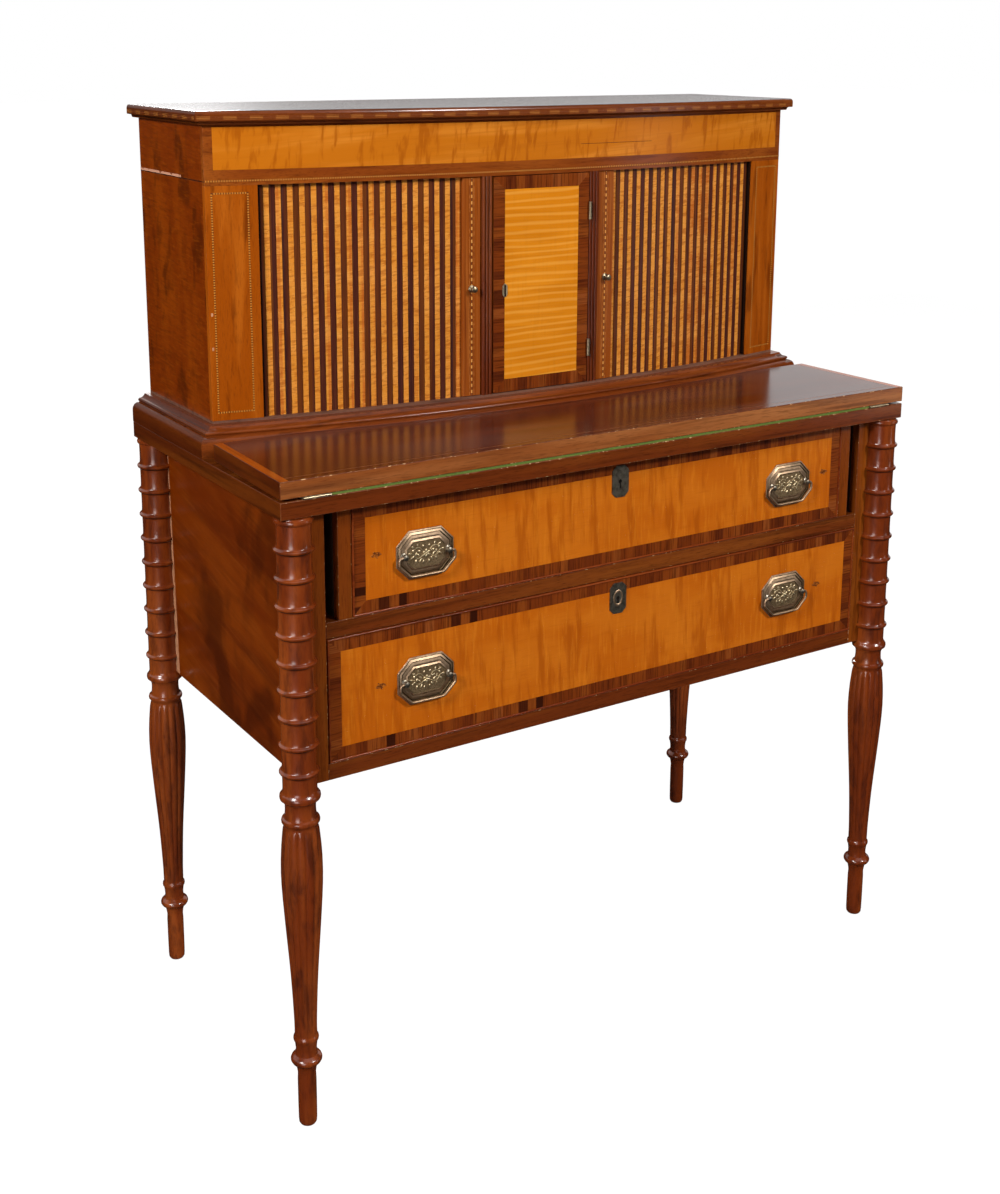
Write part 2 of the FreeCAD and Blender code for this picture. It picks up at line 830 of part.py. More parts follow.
def cut_corner_plate(name, centre, width, height, corner, face, thickness):
    """An eight-sided plate: a rectangle with its corners cut off."""
    x, z = centre
    half, tall = length(width) / 2, length(height) / 2
    corners = [
        (x - half + corner, z - tall),
        (x + half - corner, z - tall),
        (x + half, z - tall + corner),
        (x + half, z + tall - corner),
        (x + half - corner, z + tall),
        (x - half + corner, z + tall),
        (x - half, z + tall - corner),
        (x - half, z - tall + corner),
    ]
    return slab(name, "XZ_Plane", corners, face, thickness)


def keyhole(name, x, z, face, depth):
    """A round hole over a slot, to cut from an escutcheon."""
    face_back = length(face) + depth
    hole = rod(name + "_hole", size("keyhole_radius"), (x, face, z), (x, face_back, z), "y")
    slot = board(
        name + "_slot",
        (length(x) - size("keyhole_slot") / 2, face, length(z) - size("keyhole_length")),
        (length(x) + size("keyhole_slot") / 2, face_back, z),
    )
    return fuse(name, hole, slot)


bail_pivot_y = rail_front - size("plate_thickness") - size("post_length")
bail_pivot_y = bail_pivot_y + size("bail_behind_post_end")


def pull_plate(name, x, z):
    """A stamped plate with a raised middle and two drilled posts for the bail."""
    face = rail_front - size("plate_thickness")
    rim = cut_corner_plate(
        name + "_rim", (x, z), size("plate_width"), size("plate_height"),
        size("plate_corner"), face, size("plate_thickness"),
    )
    raised = cut_corner_plate(
        name + "_raised", (x, z), size("plate_width") - size("plate_step") * 4,
        size("plate_height") - size("plate_step") * 4, size("plate_corner") - size("plate_step"),
        face - size("plate_step_thickness"), size("plate_step_thickness"),
    )
    posts = []
    for side, sign in (("left", -1), ("right", 1)):
        post_x = x + size("post_spacing") / 2 * sign
        posts.append(
            rod(
                "%s_post_%s" % (name, side),
                size("post_radius"),
                (post_x, face - size("post_length"), z),
                (post_x, face, z),
                "y",
            )
        )
    bore = rod(
        name + "_bore",
        size("bail_radius") + size("bail_clearance"),
        (x - size("plate_width") / 2, bail_pivot_y, z),
        (x + size("plate_width") / 2, bail_pivot_y, z),
        "x",
    )
    return cut(name, fuse(name + "_solid", rim, raised, *posts), bore)


def bail(name, x, z):
    """A drop handle: bent rod with its two ends in the posts, hanging down over the plate."""
    radius = SIZES["bail_radius"]
    arm = SIZES["post_spacing"] / 2 + SIZES["post_radius"] + SIZES["bail_side_gap"] + radius
    bend = arm - SIZES["bail_corner"]
    shoulder = -SIZES["bail_shoulder"]
    drop = -SIZES["bail_drop"]
    centre = FreeCAD.Vector(length(x).value, bail_pivot_y.value, length(z).value)
    route = [(arm, 0), (arm, shoulder), (bend, drop), (-bend, drop), (-arm, shoulder), (-arm, 0)]
    route = [centre + FreeCAD.Vector(u, 0, v) for u, v in route]
    solid = Part.makeSphere(radius, route[0])
    for start, end in zip(route, route[1:]):
        along = end - start
        solid = solid.fuse(Part.makeCylinder(radius, along.Length, start, along))
        solid = solid.fuse(Part.makeSphere(radius, end))
    pin_length = 2 * SIZES["post_radius"] + SIZES["bail_side_gap"] + radius
    for sign, end in ((-1, route[0]), (1, route[-1])):
        solid = solid.fuse(Part.makeCylinder(radius, pin_length, end, FreeCAD.Vector(sign, 0, 0)))
    handle = doc.addObject("Part::Feature", name)
    handle.Shape = solid.removeSplitter()
    return handle


def drawer(name, half_opening, low, high, pull_height):
    """A dovetailed drawer with its veneered front and brass, fitted to one opening."""
    half_width = half_opening - size("drawer_side_gap")
    front_low = low + size("drawer_bottom_gap")
    front_high = high - size("drawer_top_gap")
    board_front = rail_front + size("veneer_thickness")
    board_back = board_front + size("drawer_front_thickness")
    bead_face = rail_front - size("cockbead_proud")
    cockbead = frame(
        name + "_cockbead", half_width, front_low, front_high,
        size("cockbead_width"), bead_face, size("cockbead_depth"),
    )
    blank = board(
        name + "_front_blank", (-half_width, board_front, front_low), (half_width, board_back, front_high)
    )
    keyed = keyhole(
        name + "_front_keyhole", 0, high - size("escutcheon_drop"), board_front,
        size("drawer_front_thickness"),
    )
    cut(name + "_front", cut(name + "_front_rebated", blank, cockbead), keyed)
    bead = size("cockbead_width")
    veneer = veneered_face(
        name + "_veneer_sheet", half_width - bead, front_low + bead, front_high - bead,
        size("crossband_width"), rail_front,
    )
    veneer_key = keyhole(
        name + "_veneer_keyhole", 0, high - size("escutcheon_drop"), rail_front, size("veneer_thickness")
    )
    cut(name + "_veneer", veneer, veneer_key)

    inner = half_width - size("drawer_side_thickness")
    rear = back_front - size("drawer_rear_gap")
    side_low = low + size("drawer_runner_gap")
    side_high = high - size("drawer_side_drop")
    bottom_low = low + size("drawer_bottom_lift")
    bottom_high = bottom_low + size("drawer_bottom_thickness")
    side = board(name + "_side", (inner, board_back, side_low), (half_width, rear, side_high))
    rear_board = board(
        name + "_rear_board", (-inner, rear - size("drawer_side_thickness"), bottom_high),
        (inner, rear, side_high),
    )
    bottom = board(name + "_bottom", (-inner, board_back, bottom_low), (inner, rear, bottom_high))
    group(name + "_box", side, mirror(name + "_side_twin", side), rear_board, bottom)

    lock_high = front_high - size("escutcheon_drop") + size("lock_height") / 2
    board(
        name + "_lock",
        (-(size("lock_width") / 2), board_back, lock_high - size("lock_height")),
        (size("lock_width") / 2, board_back + size("lock_thickness"), lock_high),
    )
    plate = cut_corner_plate(
        name + "_escutcheon_plate", (length(0), high - size("escutcheon_drop")),
        size("escutcheon_width"), size("escutcheon_height"), size("escutcheon_corner"),
        rail_front - size("escutcheon_thickness"), size("escutcheon_thickness"),
    )
    plate_key = keyhole(
        name + "_plate_keyhole", 0, high - size("escutcheon_drop"),
        rail_front - size("escutcheon_thickness"), size("escutcheon_thickness"),
    )
    cut(name + "_escutcheon", plate, plate_key)

    pull_z = low + pull_height
    pull_x = slot_outer - size("pull_from_corner_stile")
    plates = [
        pull_plate(name + "_plate_left", -pull_x, pull_z),
        pull_plate(name + "_plate_right", pull_x, pull_z),
    ]
    group(name + "_pull_plates", *plates)
    bail(name + "_bail_left", -pull_x, pull_z)
    bail(name + "_bail_right", pull_x, pull_z)


drawer(
    "upper_drawer", upper_opening_half, middle_rail_top, case_top, size("upper_pull_above_opening")
)
drawer(
    "lower_drawer", slot_outer, bottom_rail_top, middle_rail_bottom, size("lower_pull_above_opening")
)

# ---------------------------------------------------------------------------------------
# Upper case
# ---------------------------------------------------------------------------------------
band_top = bed_top + size("plinth_band_height")
step_top = band_top + size("plinth_step_height")
plinth_blank = fuse(
    "plinth_blank",
    bowed_board("plinth_band", bed_half, plinth_front, back, bed_top, band_top),
    bowed_board(
        "plinth_step",
        bed_half - size("plinth_step_in"),
        plinth_front + size("plinth_step_in"),
        back,
        band_top,
        step_top,
    ),
    bowed_board(
        "plinth_cap",
        bed_half - size("plinth_step_in") * 2,
        plinth_front + size("plinth_step_in") * 2,
        back,
        step_top,
        plinth_top,
    ),
)
floor_bottom = floor_top - size("floor_thickness")
floor_board = bowed_board("floor_board", case_half, case_front, back, floor_bottom, floor_top)
plinth = cut("plinth", plinth_blank, floor_board)

# The tambours run in a groove that follows the bow and turns back along each side.
slat_face = fascia_back + size("slat_behind_fascia")
slat_back = slat_face + size("slat_thickness")
track_face = slat_face - size("track_side_gap") / 2
track_width = size("slat_thickness") + size("canvas_thickness") + size("track_side_gap")
stile_start = size("door_half") + size("door_edge_gap") + size("divider_width")
stile_start = stile_start + size("lead_stile_from_divider")
stile_end = stile_start + size("lead_stile_width")
track_start = stile_start - size("lead_stile_from_divider") / 2
track_corner = case_inner - size("track_side_gap")


def track(name, low, high):
    """The groove of both tambours, as the shape to cut away."""
    run = bowed_strip(name + "_run", track_start, track_corner, track_face, track_width, low, high)
    return_run = board(
        name + "_return",
        (track_corner - track_width, fascia_back + size("track_return_start"), low),
        (track_corner, back - size("track_return") / 2, high),
    )
    right = fuse(name + "_right", run, return_run)
    return group(name, right, mirror(name + "_left", right))


case_floor = cut("case_floor", floor_board, track("floor_track", floor_top - size("track_depth"), floor_top))
soffit_blank = board(
    "soffit_blank", (-case_inner, case_front, opening_top),
    (case_inner, case_back_front, opening_top + size("soffit_thickness")),
)
soffit_board = common(
    "soffit_board", soffit_blank,
    bow("soffit_bow", fascia_back, opening_top, opening_top + size("soffit_thickness")),
)
case_soffit = cut(
    "case_soffit", soffit_board, track("soffit_track", opening_top, opening_top + size("track_depth"))
)

side_blank = board(
    "upper_side_blank", (case_inner, case_front, floor_top), (case_half, back, frieze_top)
)
upper_side_right = common(
    "upper_side_right", side_blank, bow("upper_side_bow", fascia_back, floor_top, frieze_top)
)
upper_side_left = mirror("upper_side_left", upper_side_right)
upper_back = board(
    "upper_back", (-case_inner, case_back_front, floor_top), (case_inner, back, frieze_top)
)
pilaster = bowed_strip(
    "pilaster", opening_half, case_half, case_front, size("fascia_thickness"),
    floor_top, opening_top,
)
pilasters = pair("pilasters", pilaster)
frieze = bowed_strip(
    "frieze", -case_half, case_half, case_front, size("fascia_thickness"),
    opening_top, frieze_top,
)
top_underside = frieze_top + size("top_bed_mould")
top_board = fuse(
    "top_board",
    bowed_board(
        "top_bed_mould",
        case_half + size("top_bed_overhang"),
        case_front - size("top_bed_overhang"),
        back,
        frieze_top,
        top_underside,
    ),
    bowed_board(
        "top_slab",
        case_half + size("top_overhang"),
        case_front - size("top_overhang"),
        back + size("top_rear_overhang"),
        top_underside,
        top_underside + size("top_thickness"),
    ),
)

# Reeded dividers stand at each side of the door.
divider_start = size("door_half") + size("door_edge_gap")
divider_end = divider_start + size("divider_width")
door_face = case_front + size("door_setback")
reed_axis_y = door_face + size("reed_radius")
reed_step = size("divider_width") / REEDS_PER_DIVIDER
divider_parts = [
    board(
        "divider_board", (divider_start, reed_axis_y, floor_top),
        (divider_end, case_front + size("divider_depth"), opening_top),
    )
]
for number in range(REEDS_PER_DIVIDER):
    reed_x = divider_start + reed_step * (number + 0.5)
    divider_parts.append(
        rod(
            "divider_reed_%d" % number, size("reed_radius"),
            (reed_x, reed_axis_y, floor_top), (reed_x, reed_axis_y, opening_top),
        )
    )
door_dividers = pair("door_dividers", fuse("door_divider", *divider_parts))

# ---------------------------------------------------------------------------------------
# Inside of the upper case
# ---------------------------------------------------------------------------------------
shelf_top = floor_top + size("shelf_above_floor")
shelf_bottom = shelf_top - size("pigeonhole_board")
inner_front = fascia_back + size("pigeonhole_setback")
partition_inner = divider_end - size("partition_thickness")
partition = board(
    "partition",
    (partition_inner, case_front + size("divider_depth"), floor_top),
    (divider_end, case_back_front, opening_top),
)
partition_twin = mirror("partition_twin", partition)


def behind_bow(name, low, high):
    """A board inside the case whose front edge stays behind the tambour's path."""
    blank = board(name + "_blank", (low[0], inner_front, low[1]), (high[0], case_back_front, high[1]))
    return common(name, blank, bow(name + "_bow", inner_front, low[1], high[1]))


wall_outer = case_inner - size("inner_wall_from_side")
wall_inner = wall_outer - size("inner_wall_thickness")
wall = behind_bow("pigeonhole_wall", (wall_inner, floor_top), (wall_outer, opening_top))
shelf = behind_bow("pigeonhole_shelf", (divider_end, shelf_bottom), (wall_inner, shelf_top))
pigeonhole_pieces = [wall, shelf]
bay_width = (wall_inner - divider_end) / BAYS_ABOVE_SHELF
for number in range(1, BAYS_ABOVE_SHELF):
    middle = divider_end + bay_width * number
    upright = behind_bow(
        "pigeonhole_upright_%d" % number,
        (middle - size("pigeonhole_board") / 2, shelf_top),
        (middle + size("pigeonhole_board") / 2, opening_top),
    )
    pigeonhole_pieces.append(upright)
twins = [mirror(piece.Name + "_twin", piece) for piece in pigeonhole_pieces]
centre_shelf = board(
    "centre_shelf",
    (-partition_inner, case_front + size("divider_depth") + size("pigeonhole_setback"), shelf_bottom),
    (partition_inner, case_back_front, shelf_top),
)
pigeonholes = group(
    "pigeonholes", partition, partition_twin, *pigeonhole_pieces, *twins, centre_shelf
)

# ---------------------------------------------------------------------------------------
# Door
# ---------------------------------------------------------------------------------------
door_low = floor_top + size("door_height_gap")
door_high = opening_top - size("door_height_gap")
door_board_front = door_face + size("veneer_thickness")
door_keyhole_x = -size("door_half") + size("door_band")
door_keyhole_z = floor_top + size("door_escutcheon_from_floor")
door_panel = board(
    "door_panel",
    (-size("door_half"), door_board_front, door_low),
    (size("door_half"), door_board_front + size("door_thickness"), door_high),
)
door_veneer = veneered_face(
    "door_veneer", size("door_half"), door_low, door_high, size("door_band"), door_face
)
door_escutcheon_corner = (size("door_escutcheon_width") - size("door_escutcheon_flat")) / 2
escutcheon_blank = cut_corner_plate(
    "door_escutcheon_plate", (door_keyhole_x, door_keyhole_z),
    size("door_escutcheon_width"), size("door_escutcheon_height"), door_escutcheon_corner,
    door_face - size("escutcheon_thickness"), size("escutcheon_thickness"),
)
door_slot = board(
    "door_keyhole_slot",
    (
        door_keyhole_x - size("keyhole_slot") / 2,
        door_face - size("escutcheon_thickness"),
        door_keyhole_z - size("keyhole_length") / 2,
    ),
    (
        door_keyhole_x + size("keyhole_slot") / 2,
        door_face,
        door_keyhole_z + size("keyhole_length") / 2,
    ),
)
door_escutcheon = cut("door_escutcheon", escutcheon_blank, door_slot)

door_pivot_x = size("door_half") + size("door_edge_gap") / 2
door_pivot_y = door_face - size("door_pivot_proud")
door_plate_front = door_pivot_y + size("door_knuckle_radius") + size("hinge_plate_gap")
door_plate_back = door_plate_front + size("door_hinge_depth")
door_third = size("door_hinge_height") / 3


def door_knuckle(name, x_low, x_high, low, high):
    """One knuckle of a butt hinge and its tab."""
    barrel = rod(
        name + "_barrel", size("door_knuckle_radius"),
        (door_pivot_x, door_pivot_y, low), (door_pivot_x, door_pivot_y, high),
    )
    tab = board(name + "_tab", (x_low, door_pivot_y, low), (x_high, door_plate_front, high))
    return [barrel, tab]


def butt_hinge(name, centre):
    """The two halves of a brass butt hinge and its pin, at one height."""
    low = centre - size("door_hinge_height") / 2
    high = centre + size("door_hinge_height") / 2
    moving_low = size("door_half")
    moving_high = moving_low + size("door_plate_thickness")
    fixed_high = divider_start
    fixed_low = fixed_high - size("door_plate_thickness")
    bore_radius = size("door_pin_radius") + size("hinge_pin_clearance")
    bores = [
        rod(
            name + ending, bore_radius,
            (door_pivot_x, door_pivot_y, low), (door_pivot_x, door_pivot_y, high),
        )
        for ending in ("_moving_bore", "_fixed_bore")
    ]
    moving_plate = board(
        name + "_moving_plate", (moving_low, door_plate_front, low), (moving_high, door_plate_back, high)
    )
    moving_knuckle = door_knuckle(
        name + "_moving", moving_low, moving_high,
        low + door_third + size("hinge_knuckle_gap"), high - door_third - size("hinge_knuckle_gap"),
    )
    moving = cut(
        name + "_moving_half", fuse(name + "_moving_solid", moving_plate, *moving_knuckle), bores[0]
    )
    fixed_plate = board(
        name + "_fixed_plate", (fixed_low, door_plate_front, low), (fixed_high, door_plate_back, high)
    )
    fixed_knuckles = door_knuckle(
        name + "_fixed_lower", fixed_low, fixed_high, low, low + door_third
    ) + door_knuckle(name + "_fixed_upper", fixed_low, fixed_high, high - door_third, high)
    fixed = cut(
        name + "_fixed_half", fuse(name + "_fixed_solid", fixed_plate, *fixed_knuckles), bores[1]
    )
    pin = rod(
        name + "_pin", size("door_pin_radius"),
        (door_pivot_x, door_pivot_y, low), (door_pivot_x, door_pivot_y, high),
    )
    return moving, [fixed, pin]


upper_moving, upper_fixed = butt_hinge("door_hinge_upper", opening_top - size("door_hinge_from_top"))
lower_moving, lower_fixed = butt_hinge("door_hinge_lower", floor_top + size("door_hinge_from_bottom"))
door_hinge_door_plates = group("door_hinge_door_plates", upper_moving, lower_moving)
door_hinge_case_plates = group("door_hinge_case_plates", *upper_fixed, *lower_fixed)

# ---------------------------------------------------------------------------------------
# Tambours: a stiff lead stile with a knob, then narrow slats glued to canvas
# ---------------------------------------------------------------------------------------
slat_low = floor_top - size("track_depth") + size("slat_end_gap")
slat_high = opening_top + size("track_depth") - size("slat_end_gap")
stile_front = case_front + size("lead_stile_setback")
stile_block = bowed_strip(
    "stile_block", stile_start, stile_end, stile_front, size("lead_stile_depth"),
    floor_top + size("lead_stile_height_gap"), opening_top - size("lead_stile_height_gap"),
)
stile_tongue = bowed_strip(
    "stile_tongue", stile_start, stile_end, slat_face, size("slat_thickness"), slat_low, slat_high
)
tambour_stile_right = fuse("tambour_stile_right", stile_block, stile_tongue)
tambour_stile_left = mirror("tambour_stile_left", tambour_stile_right)

sheet_run = track_corner - stile_end - size("slats_short_of_corner")
slat_count = int(sheet_run.value / SIZES["slat_pitch"])
slat_radius = bow_centre - slat_face
slat_inner_radius = bow_centre - slat_back
slats = []
for number in range(slat_count):
    # Each slat is turned about the bow's centre so that it lies square on the track.
    slat = doc.addObject("Part::Box", "slat_%d" % number)
    bind(slat, "Length", size("slat_pitch") - size("slat_side_gap"))
    bind(slat, "Width", size("slat_thickness"))
    bind(slat, "Height", slat_high - slat_low)
    turn = "asin((%s) / (%s)) + (%s) / (%s) * 180 / pi * %d * 1 deg" % (
        stile_end.text, slat_inner_radius.text, size("slat_pitch").text, slat_radius.text, number
    )
    slat.setExpression("Placement.Rotation.Angle", turn)
    slat.setExpression("Placement.Base.x", "(%s) * sin(%s)" % (slat_radius.text, turn))
    slat.setExpression(
        "Placement.Base.y", "%s - (%s) * cos(%s)" % (bow_centre.text, slat_radius.text, turn)
    )
    bind(slat, "Placement.Base.z", slat_low)
    slats.append(slat)
sheet_length = size("slat_pitch") * slat_count
canvas = bowed_strip(
    "tambour_canvas", stile_end, stile_end + sheet_length - size("canvas_short_of_slats"), slat_back,
    size("canvas_thickness"), floor_top + size("slat_end_gap"), opening_top - size("slat_end_gap"),
)
tambour_slats_right = group("tambour_slats_right", *slats, canvas)
tambour_slats_left = mirror("tambour_slats_left", tambour_slats_right)

knob_x = stile_start + size("lead_stile_width") / 2
knob_outline = [
    (0, 0),
    (size("knob_rose_radius"), 0),
    (size("knob_rose_radius"), size("knob_rose_thickness")),
    (size("knob_neck_radius"), size("knob_rose_thickness") * 2),
    (size("knob_neck_radius"), size("knob_length") - size("knob_radius") * 1.2),
    (size("knob_radius"), size("knob_length") - size("knob_radius") * 0.6),
    (size("knob_radius") * 0.7, size("knob_length")),
    (0, size("knob_length")),
]
knob = turning("knob_turning", knob_outline)
# The knob stands square on the stile's curved face.
knob_radius = bow_centre - stile_front
knob_turn = math.degrees(math.asin(knob_x.value / knob_radius.value))
upright = FreeCAD.Rotation(FreeCAD.Vector(1, 0, 0), 90)
knob.Placement.Rotation = FreeCAD.Rotation(FreeCAD.Vector(0, 0, 1), knob_turn) * upright
bind(knob, "Placement.Base.x", knob_x)
knob.setExpression(
    "Placement.Base.y",
    "%s - sqrt(pow(%s; 2) - pow(%s; 2))" % (bow_centre.text, knob_radius.text, knob_x.text),
)
bind(knob, "Placement.Base.z", floor_top + size("knob_from_floor"))
tambour_knob_right = doc.addObject("Part::Compound", "tambour_knob_right")
tambour_knob_right.Links = [knob]
tambour_knob_left = mirror("tambour_knob_left", tambour_knob_right)

# ---------------------------------------------------------------------------------------
# Check and write
# ---------------------------------------------------------------------------------------
NODES = [
    "leg_front_left", "leg_front_right", "leg_rear_left", "leg_rear_right",
    "lower_side_left", "lower_side_right", "lower_back", "front_stiles", "middle_rail",
    "bottom_rail", "drawer_runners", "loper_guides", "loper_left", "loper_right",
    "writing_bed", "bed_baize", "writing_leaf", "leaf_baize",
    "leaf_hinge_bed_plates", "leaf_hinge_leaf_plates",
    "plinth", "case_floor", "case_soffit", "upper_side_left", "upper_side_right", "upper_back",
    "pilasters", "frieze", "top_board", "door_dividers", "pigeonholes",
    "door_panel", "door_veneer", "door_escutcheon", "door_hinge_door_plates",
    "door_hinge_case_plates", "tambour_stile_left", "tambour_stile_right",
    "tambour_slats_left", "tambour_slats_right", "tambour_knob_left", "tambour_knob_right",
]
DRAWER_PIECES = [
    "front", "veneer", "cockbead", "box", "lock", "escutcheon", "pull_plates",
    "bail_left", "bail_right",
]
for drawer_name in ("upper_drawer", "lower_drawer"):
    NODES += ["%s_%s" % (drawer_name, piece) for piece in DRAWER_PIECES]

doc.recompute()
for item in doc.Objects:
    if "Invalid" in item.State or "Error" in item.State:
        raise RuntimeError("%s did not build: %s" % (item.Name, item.State))
os.makedirs("parts", exist_ok=True)
for node in NODES:
    piece = doc.getObject(node)
    piece.Label = node
    if piece.Shape.isNull() or not piece.Shape.isValid() or not piece.Shape.Solids:
        raise RuntimeError("%s has no valid solid" % node)
for node in NODES:
    doc.getObject(node).Shape.exportStep("parts/%s.step" % node)
print("wrote %d nodes" % len(NODES))
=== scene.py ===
from math import asin, atan2, cos, hypot, pi, radians, sin, sqrt

import bpy
from mathutils import Matrix, Vector


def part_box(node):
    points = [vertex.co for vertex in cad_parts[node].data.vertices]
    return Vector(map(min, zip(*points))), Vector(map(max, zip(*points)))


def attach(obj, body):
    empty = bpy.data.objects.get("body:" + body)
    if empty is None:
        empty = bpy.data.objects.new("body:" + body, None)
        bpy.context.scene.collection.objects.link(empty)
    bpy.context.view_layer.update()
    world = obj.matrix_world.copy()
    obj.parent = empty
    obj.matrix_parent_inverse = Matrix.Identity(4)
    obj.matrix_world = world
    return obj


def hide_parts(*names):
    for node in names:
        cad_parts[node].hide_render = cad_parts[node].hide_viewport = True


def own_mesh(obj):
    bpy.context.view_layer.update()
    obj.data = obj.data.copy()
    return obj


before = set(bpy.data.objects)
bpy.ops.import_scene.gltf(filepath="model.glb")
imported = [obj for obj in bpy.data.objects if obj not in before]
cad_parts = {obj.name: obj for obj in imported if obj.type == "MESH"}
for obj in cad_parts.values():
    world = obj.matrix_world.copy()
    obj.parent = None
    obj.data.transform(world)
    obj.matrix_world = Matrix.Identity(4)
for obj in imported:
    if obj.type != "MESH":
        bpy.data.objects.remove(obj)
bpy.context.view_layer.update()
mm = 0.001


# ---- Mahogany ----
# A hard, red-brown cabinet wood under shellac polish. The eye sees long straight grain,
# short dark pores and a deep, fairly sharp shine.
def linear(code):
    """An sRGB hex colour as linear light."""
    parts = [int(code[start:start + 2], 16) / 255 for start in (1, 3, 5)]
    return [p / 12.92 if p <= 0.04045 else ((p + 0.055) / 1.055) ** 2.4 for p in parts] + [1.0]


def add(tree, kind, inputs=None, **settings):
    """One shader node with its settings, and its sockets set or linked."""
    node = tree.nodes.new("ShaderNode" + kind)
    for name, value in settings.items():
        setattr(node, name, value)
    for socket, value in (inputs or {}).items():
        if isinstance(value, bpy.types.NodeSocket):
            tree.links.new(value, node.inputs[socket])
        else:
            node.inputs[socket].default_value = value
    return node


def new_material(name, roughness=0.5, specular=0.5, metallic=0.0):
    """A new material, with its node tree and its shader."""
    material = bpy.data.materials.new(name)
    material.use_nodes = True
    shader = material.node_tree.nodes["Principled BSDF"]
    shader.inputs["Roughness"].default_value = roughness
    shader.inputs["Specular IOR Level"].default_value = specular
    shader.inputs["Metallic"].default_value = metallic
    return material, material.node_tree, shader


def layered(name, ground, layers, roughness, specular=0.12, bump=0.0, metallic=0.0, waver=0.35):
    """A finish built up from a ground colour and layers of stretched noise.

    Each layer is (size in mm along X, Y and Z, colour, amount, low, high) and maybe a turn in
    degrees: where the noise climbs from low to high the colour comes in, up to the amount.
    """
    material, tree, shader = new_material(name, roughness, specular, metallic)
    where = add(tree, "TexCoord").outputs["Object"]
    colour = linear(ground)
    for number, (sizes, code, amount, low, high, *turns) in enumerate(layers):
        turned = add(tree, "Mapping", {"Vector": where})
        for turn in turns:
            turned.inputs["Rotation"].default_value = [radians(angle) for angle in turn]
        stretched = add(tree, "Mapping", {
            "Vector": turned.outputs[0],
            "Location": (3.7 * number, 1.9 * number, 7.3 * number),
            "Scale": [1 / (size * mm) for size in sizes],
        })
        noise = add(tree, "TexNoise", {
            "Vector": stretched.outputs[0],
            "Scale": 1.0, "Detail": 3.0, "Roughness": 0.55, "Distortion": waver,
        })
        share = add(tree, "MapRange", {
            "Value": noise.outputs[0], "From Min": low, "From Max": high, "To Max": amount,
        }, interpolation_type="SMOOTHSTEP")
        mixed = add(tree, "Mix", {0: share.outputs[0], 6: colour, 7: linear(code)}, data_type="RGBA")
        colour = mixed.outputs[2]
    tree.links.new(colour, shader.inputs["Base Color"])
    if bump:
        relief = add(tree, "Bump", {"Height": noise.outputs[0], "Strength": bump, "Distance": 0.2 * mm})
        tree.links.new(relief.outputs[0], shader.inputs["Normal"])
    return material


def mahogany(name, grain, ground, dark, light, roughness=0.2, specular=0.16):
    """Mahogany with its grain along one axis, streaked and pored with a light and a dark tone."""
    def sizes(across, along):
        return [along if axis == grain else across for axis in "xyz"]

    # Real pores are 0.3 mm wide: drawn at 0.9 mm so that they show.
    return layered(name, ground, [
        (sizes(38, 420), light, 0.7, 0.42, 0.72),
        (sizes(7, 200), dark, 0.6, 0.46, 0.74),
        (sizes(0.9, 16), dark, 0.6, 0.5, 0.74),
    ], roughness, specular, bump=0.12)


mahogany_upright = mahogany("mahogany_upright_grain", "z", "#74340a", "#3a1604", "#8c4a12")
mahogany_across = mahogany("mahogany_long_grain", "x", "#642a0c", "#2c0f04", "#844616")
mahogany_deep = mahogany("mahogany_deep_grain", "y", "#552106", "#2a0e04", "#6d340a", 0.3, 0.06)

# ---- Turned legs ----
# Four mahogany turnings. Thin rings divide the column like bamboo, the vase below is
# carved with reeds, and a cuff stands over a plain peg foot. The case is let into them.
REED_COUNT = 14
TURNING_STEPS = REED_COUNT * 8
RING_COUNT, FIRST_RING, RING_PITCH = 9, 449, 32.5


def at(*place):
    """A place given in mm, as metres."""
    return [value * mm for value in place]


def linked(name, data):
    """A new object in the scene."""
    piece = bpy.data.objects.new(name, data)
    bpy.context.scene.collection.objects.link(piece)
    return piece


def select_only(piece):
    """One piece selected and active, and nothing else."""
    bpy.ops.object.select_all(action="DESELECT")
    piece.select_set(True)
    bpy.context.view_layer.objects.active = piece


def open_mesh(piece):
    """A piece in edit mode, selected all over."""
    select_only(piece)
    bpy.ops.object.mode_set(mode="EDIT")
    bpy.ops.mesh.select_all(action="SELECT")


def close_mesh():
    """Faces turned outwards, and edit mode left."""
    bpy.ops.mesh.select_all(action="SELECT")
    bpy.ops.mesh.normals_make_consistent(inside=False)
    bpy.ops.object.mode_set(mode="OBJECT")


def started(kind, scale=(1, 1, 1), **settings):
    """A new primitive at its size and place."""
    bpy.ops.object.select_all(action="DESELECT")
    getattr(bpy.ops.mesh, "primitive_%s_add" % kind)(**settings)
    piece = bpy.context.object
    piece.scale = scale
    bpy.ops.object.transform_apply(location=True, rotation=True, scale=True)
    return piece


def use_modifier(piece, kind, **settings):
    """A modifier put on a piece and applied."""
    select_only(piece)
    modifier = piece.modifiers.new(kind, kind)
    for name, value in settings.items():
        setattr(modifier, name, value)
    bpy.ops.object.modifier_apply(modifier=modifier.name)


def board(corner, opposite):
    """A board between two opposite corners in metres."""
    low, high = (Vector([end(pair) for pair in zip(corner, opposite)]) for end in (min, max))
    return started("cube", scale=high - low, size=1, location=(low + high) / 2)


